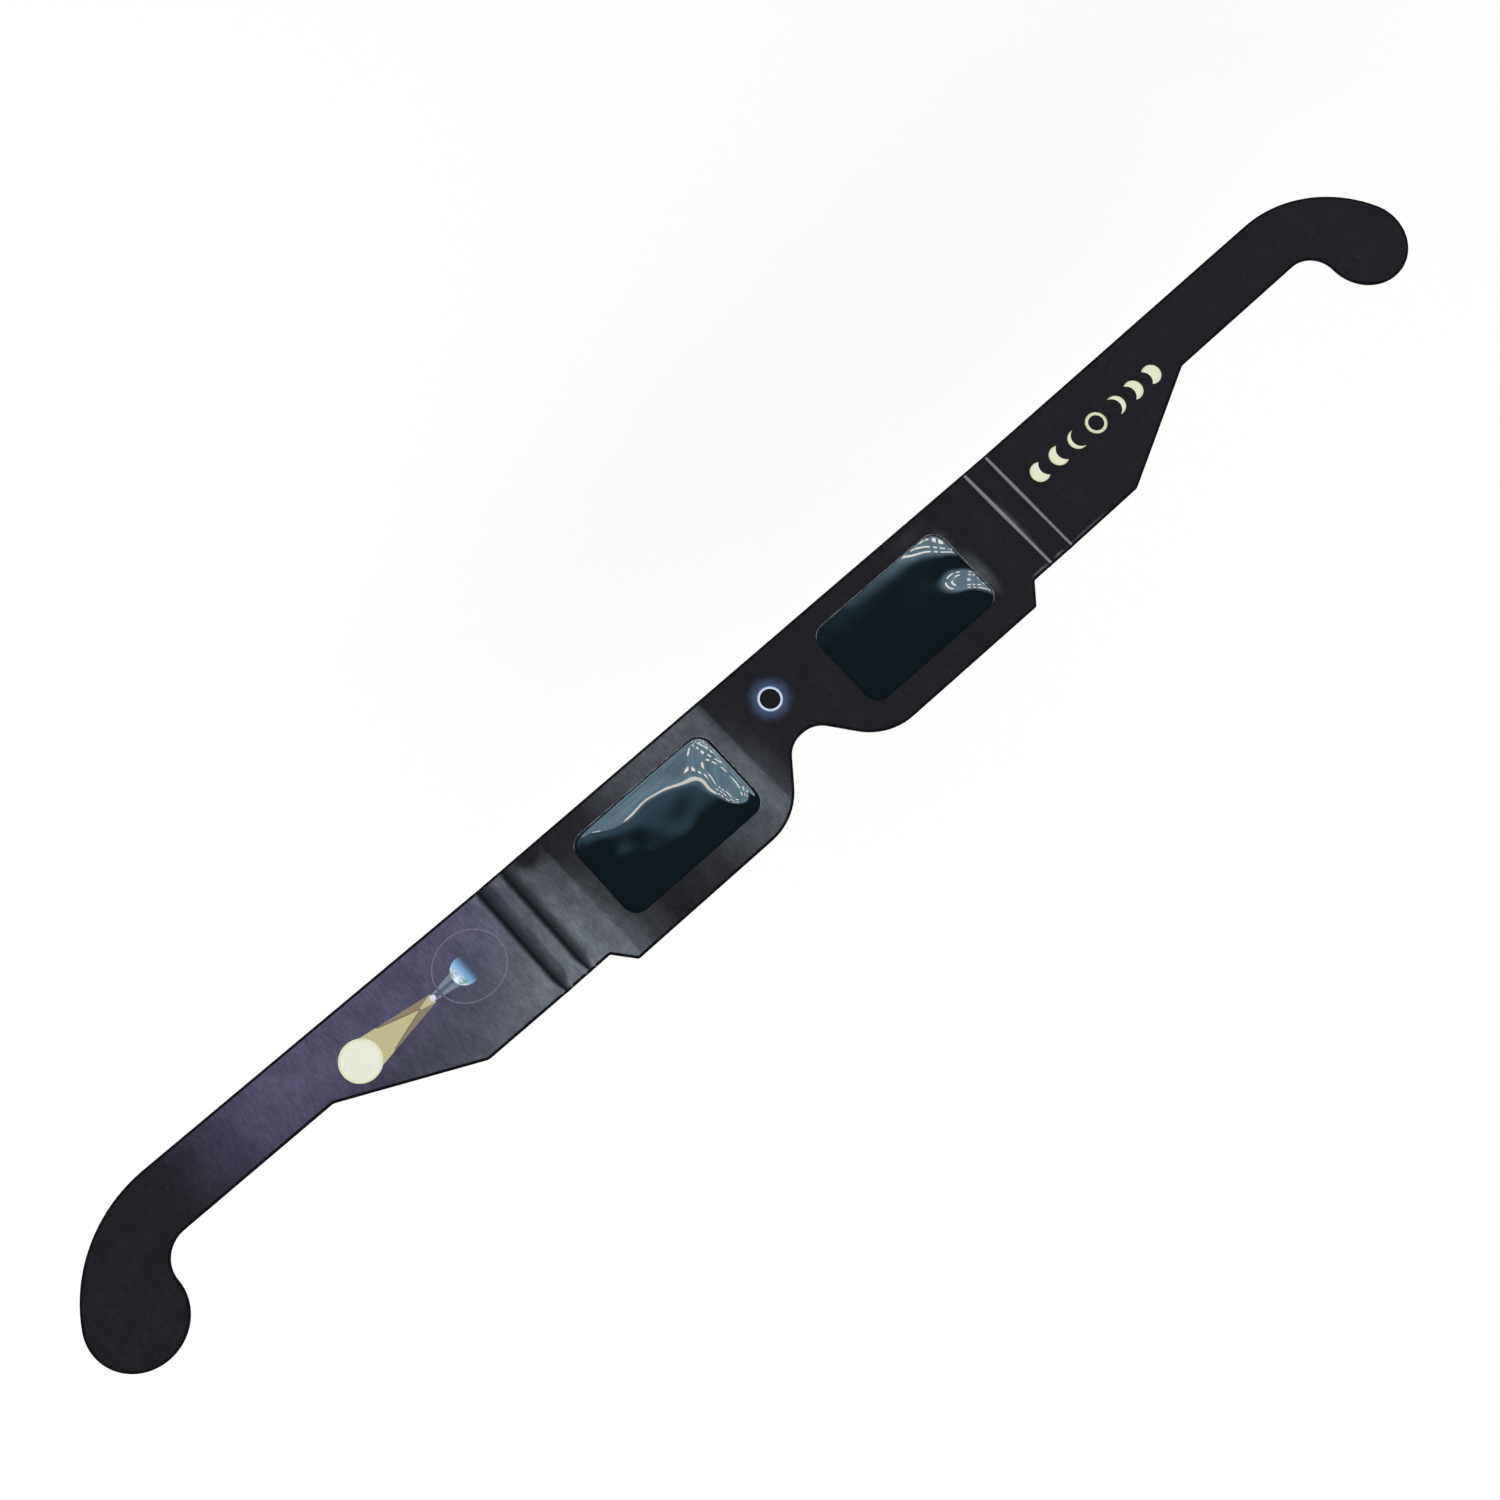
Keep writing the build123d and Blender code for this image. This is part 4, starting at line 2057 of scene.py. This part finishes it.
def panels() -> list[FrontPanel | EndPanel | CreaseSheet]:
    """Lists every panel and crease of the blank, from the middle outwards.

    The right creases are pressed less deep than the left ones.

    Returns:
        The panels and creases, not yet built.
    """
    right_depth = 0.13
    strip_start, strip_end = Fold.INNER.value + CARD.groove_half, Fold.OUTER.value - CARD.groove_half
    arm_start = Fold.OUTER.value + CARD.groove_half
    made: list[FrontPanel | EndPanel | CreaseSheet] = [FrontPanel()]
    for side, depth in ((Side.LEFT, CARD.groove_depth), (Side.RIGHT, right_depth)):
        word = side.word
        strip, arm = f"{word}_hinge_strip", f"{word}_temple_arm"
        made += [
            CreaseSheet(side, Fold.INNER, depth),
            EndPanel(side, strip, f"{word}_strip_sheet", f"{word}_strip", strip_start, strip_end),
            CreaseSheet(side, Fold.OUTER, depth),
            EndPanel(side, arm, f"{word}_arm_sheet", f"{word}_arm", arm_start),
        ]
    return made


def left_film() -> LensFilm:
    """The left film: swollen, and dented along a long bright line near the brow.

    Returns:
        The film, not yet built.
    """
    right_end, long_line = Zone(-24.5, 0, -5, 20, 1.4), Zone(-41, -23, 5, 8.2, 2.2)
    brow = Zone(-60, 0, 8.4, 20, 0.35)
    sights = {
        9.3: ((-50.5, .10, .12), (-48.5, .20, .22), (-47, .33, .34), (-45, .375, .38), (-42, .40, .40),
              (-30, .41, .40), (-23.5, .415, .375), (-17.2, .375, .33)),
        8.0: ((-50, .08, .10), (-47.5, .20, .21), (-46, .32, .33), (-45.2, .345, .35), (-43, .38, .375),
              (-40, .395, .385), (-34.5, .375, .37), (-29, .40, .38), (-26, .41, .37), (-21, .40, .33),
              (-17, .375, .295)),
        6.9: ((-50, .06, .08), (-46, .18, .19), (-44, .30, .30), (-43, .345, .34), (-41, .365, .36),
              (-37, .36, .352), (-34.5, .352, .345), (-30, .372, .355), (-26, .40, .35), (-20, .39, .30),
              (-16.8, .37, .27)),
        6.0: ((-50, .05, .07), (-45, .14, .15), (-43, .26, .26), (-41, .343, .34), (-39.5, .348, .342),
              (-36, .338, .33), (-34, .33, .325), (-32, .335, .325), (-29.5, .36, .335), (-25.5, .385, .325),
              (-22, .395, .30), (-16.8, .375, .25)),
        5.0: ((-50, .04, .06), (-44.5, .12, .12), (-42, .22, .21), (-40, .28, .27), (-38, .30, .29),
              (-32, .305, .29), (-27, .35, .305), (-24, .362, .295), (-20, .40, .25), (-17, .40, .23)),
        3.5: ((-50, .03, .05), (-43.5, .08, .08), (-39, .23, .22), (-35, .275, .255), (-29, .28, .245),
              (-25, .32, .255), (-23.2, .355, .25), (-20.4, .398, .23), (-16.8, .42, .20)),
        1.0: ((-50, .02, .03), (-42.5, .04, .04), (-40, .13, .12), (-36, .275, .255), (-34, .285, .26),
              (-30, .255, .21), (-26, .29, .225), (-23.2, .352, .235), (-20.4, .398, .215),
              (-17.5, .43, .195)),
        -1.5: ((-50, -.02, -.02), (-41.5, .0, .0), (-39, .10, .09), (-35, .27, .245), (-33.5, .30, .27),
               (-28, .27, .21), (-24, .32, .215), (-22.6, .352, .21), (-20, .395, .195), (-17.5, .43, .18)),
        -4.0: ((-50, -.10, -.12), (-40.5, -.06, -.08), (-38, .03, .01), (-34, .25, .22), (-32.5, .285, .25),
               (-27, .225, .16), (-25, .24, .15), (-21.5, .352, .155), (-19, .40, .15), (-16.6, .43, .15)),
        -6.0: ((-49, -.18, -.25), (-42, -.18, -.26), (-33, .0, -.04), (-31, .05, .0), (-28, .02, -.06),
               (-25, .06, -.06), (-20, .35, .06), (-17, .42, .09)),
        -8.3: ((-48, -.34, -.45), (-42, -.38, -.52), (-36, -.38, -.52), (-26, -.28, -.44), (-22, -.10, -.33),
               (-19.5, .15, -.16), (-17.2, .35, -.02)),
    }
    return LensFilm(Side.LEFT, lip=1.1, stiffness=0.19, sights=sights, zones=(right_end, long_line, brow))


def right_film() -> LensFilm:
    """The right film: almost flat, with two small dents at its right end.

    Returns:
        The film, not yet built.
    """
    sights = {
        10.0: ((17, 0, 0), (28, .002, .002), (38, -.017, -.022), (42, -.023, -.026), (45.6, .002, .002),
               (49.5, .052, .044)),
        8.6: ((17, 0, 0), (28, .005, .006), (38, -.016, -.02), (42, -.023, -.026), (46.2, .002, .003),
              (50, .05, .042), (51.3, .065, .055)),
        7.0: ((17, -.002, -.003), (28, -.005, -.006), (44, -.024, -.026), (46.3, -.01, -.01), (48, .01, .01),
              (51.3, .049, .04)),
        5.6: ((17, -.004, -.005), (28, -.009, -.012), (44, -.023, -.024), (47, -.019, -.018),
              (49, -.003, -.002), (51, .02, .016)),
        4.0: ((20, -.009, -.012), (40, -.017, -.022), (45, -.026, -.025), (50.5, -.028, -.02)),
        2.0: ((20, -.009, -.012), (38, -.008, -.01), (43, 0, 0), (46, -.014, -.01), (49, -.039, -.03)),
        0.7: ((20, -.009, -.012), (43, -.006, -.008), (45.2, .013, .01), (47.5, .028, .022),
              (50, -.014, -.01), (51.3, -.028, -.02)),
        -1.3: ((20, -.008, -.01), (42.5, -.006, -.008), (44.5, .017, .014), (46.5, .064, .055),
               (48.8, .073, .065), (51.3, .03, .03)),
        -3.3: ((20, -.004, -.005), (38, -.004, -.005), (43, -.009, -.012), (46, 0, 0), (48.3, .054, .045),
               (50, .079, .065)),
        -5.4: ((20, -.004, -.005), (42, -.008, -.01), (46, -.03, -.03), (49, -.009, -.012), (51, .028, .02)),
        -8.5: ((20, -.008, -.01), (42, -.008, -.01), (48, -.038, -.04), (51, -.031, -.04)),
    }
    return LensFilm(Side.RIGHT, lip=0.35, stiffness=0.26, sights=sights, from_flat=True)


def main() -> None:
    """Builds the glasses and the studio, piece by piece."""
    logging.basicConfig(level=logging.INFO, format="%(message)s")
    bpy.context.scene.view_settings.view_transform = "Standard"
    finishes = Finishes.made()
    for sheet in (*panels(), *(BackPatch(side) for side in Side), left_film(), right_film()):
        piece = sheet.build(finishes)
        LOG.info("%s %s, %d faces", type(sheet).__name__, piece.name, len(piece.data.polygons))
    for side in Side:
        for coat in ("front", "back"):
            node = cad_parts[f"{side.word}_{coat}_glue"]
            node.data.materials.clear()
            node.data.materials.append(finishes.glue)
            LOG.info("glue %s dressed", node.name)
    for figures in (ArmDiagram(), PhaseRow(), BridgeRing()):
        LOG.info("%s, %d figures", type(figures).__name__, len(figures.build()))
    Studio().build()


if __name__ == "__main__":
    main()
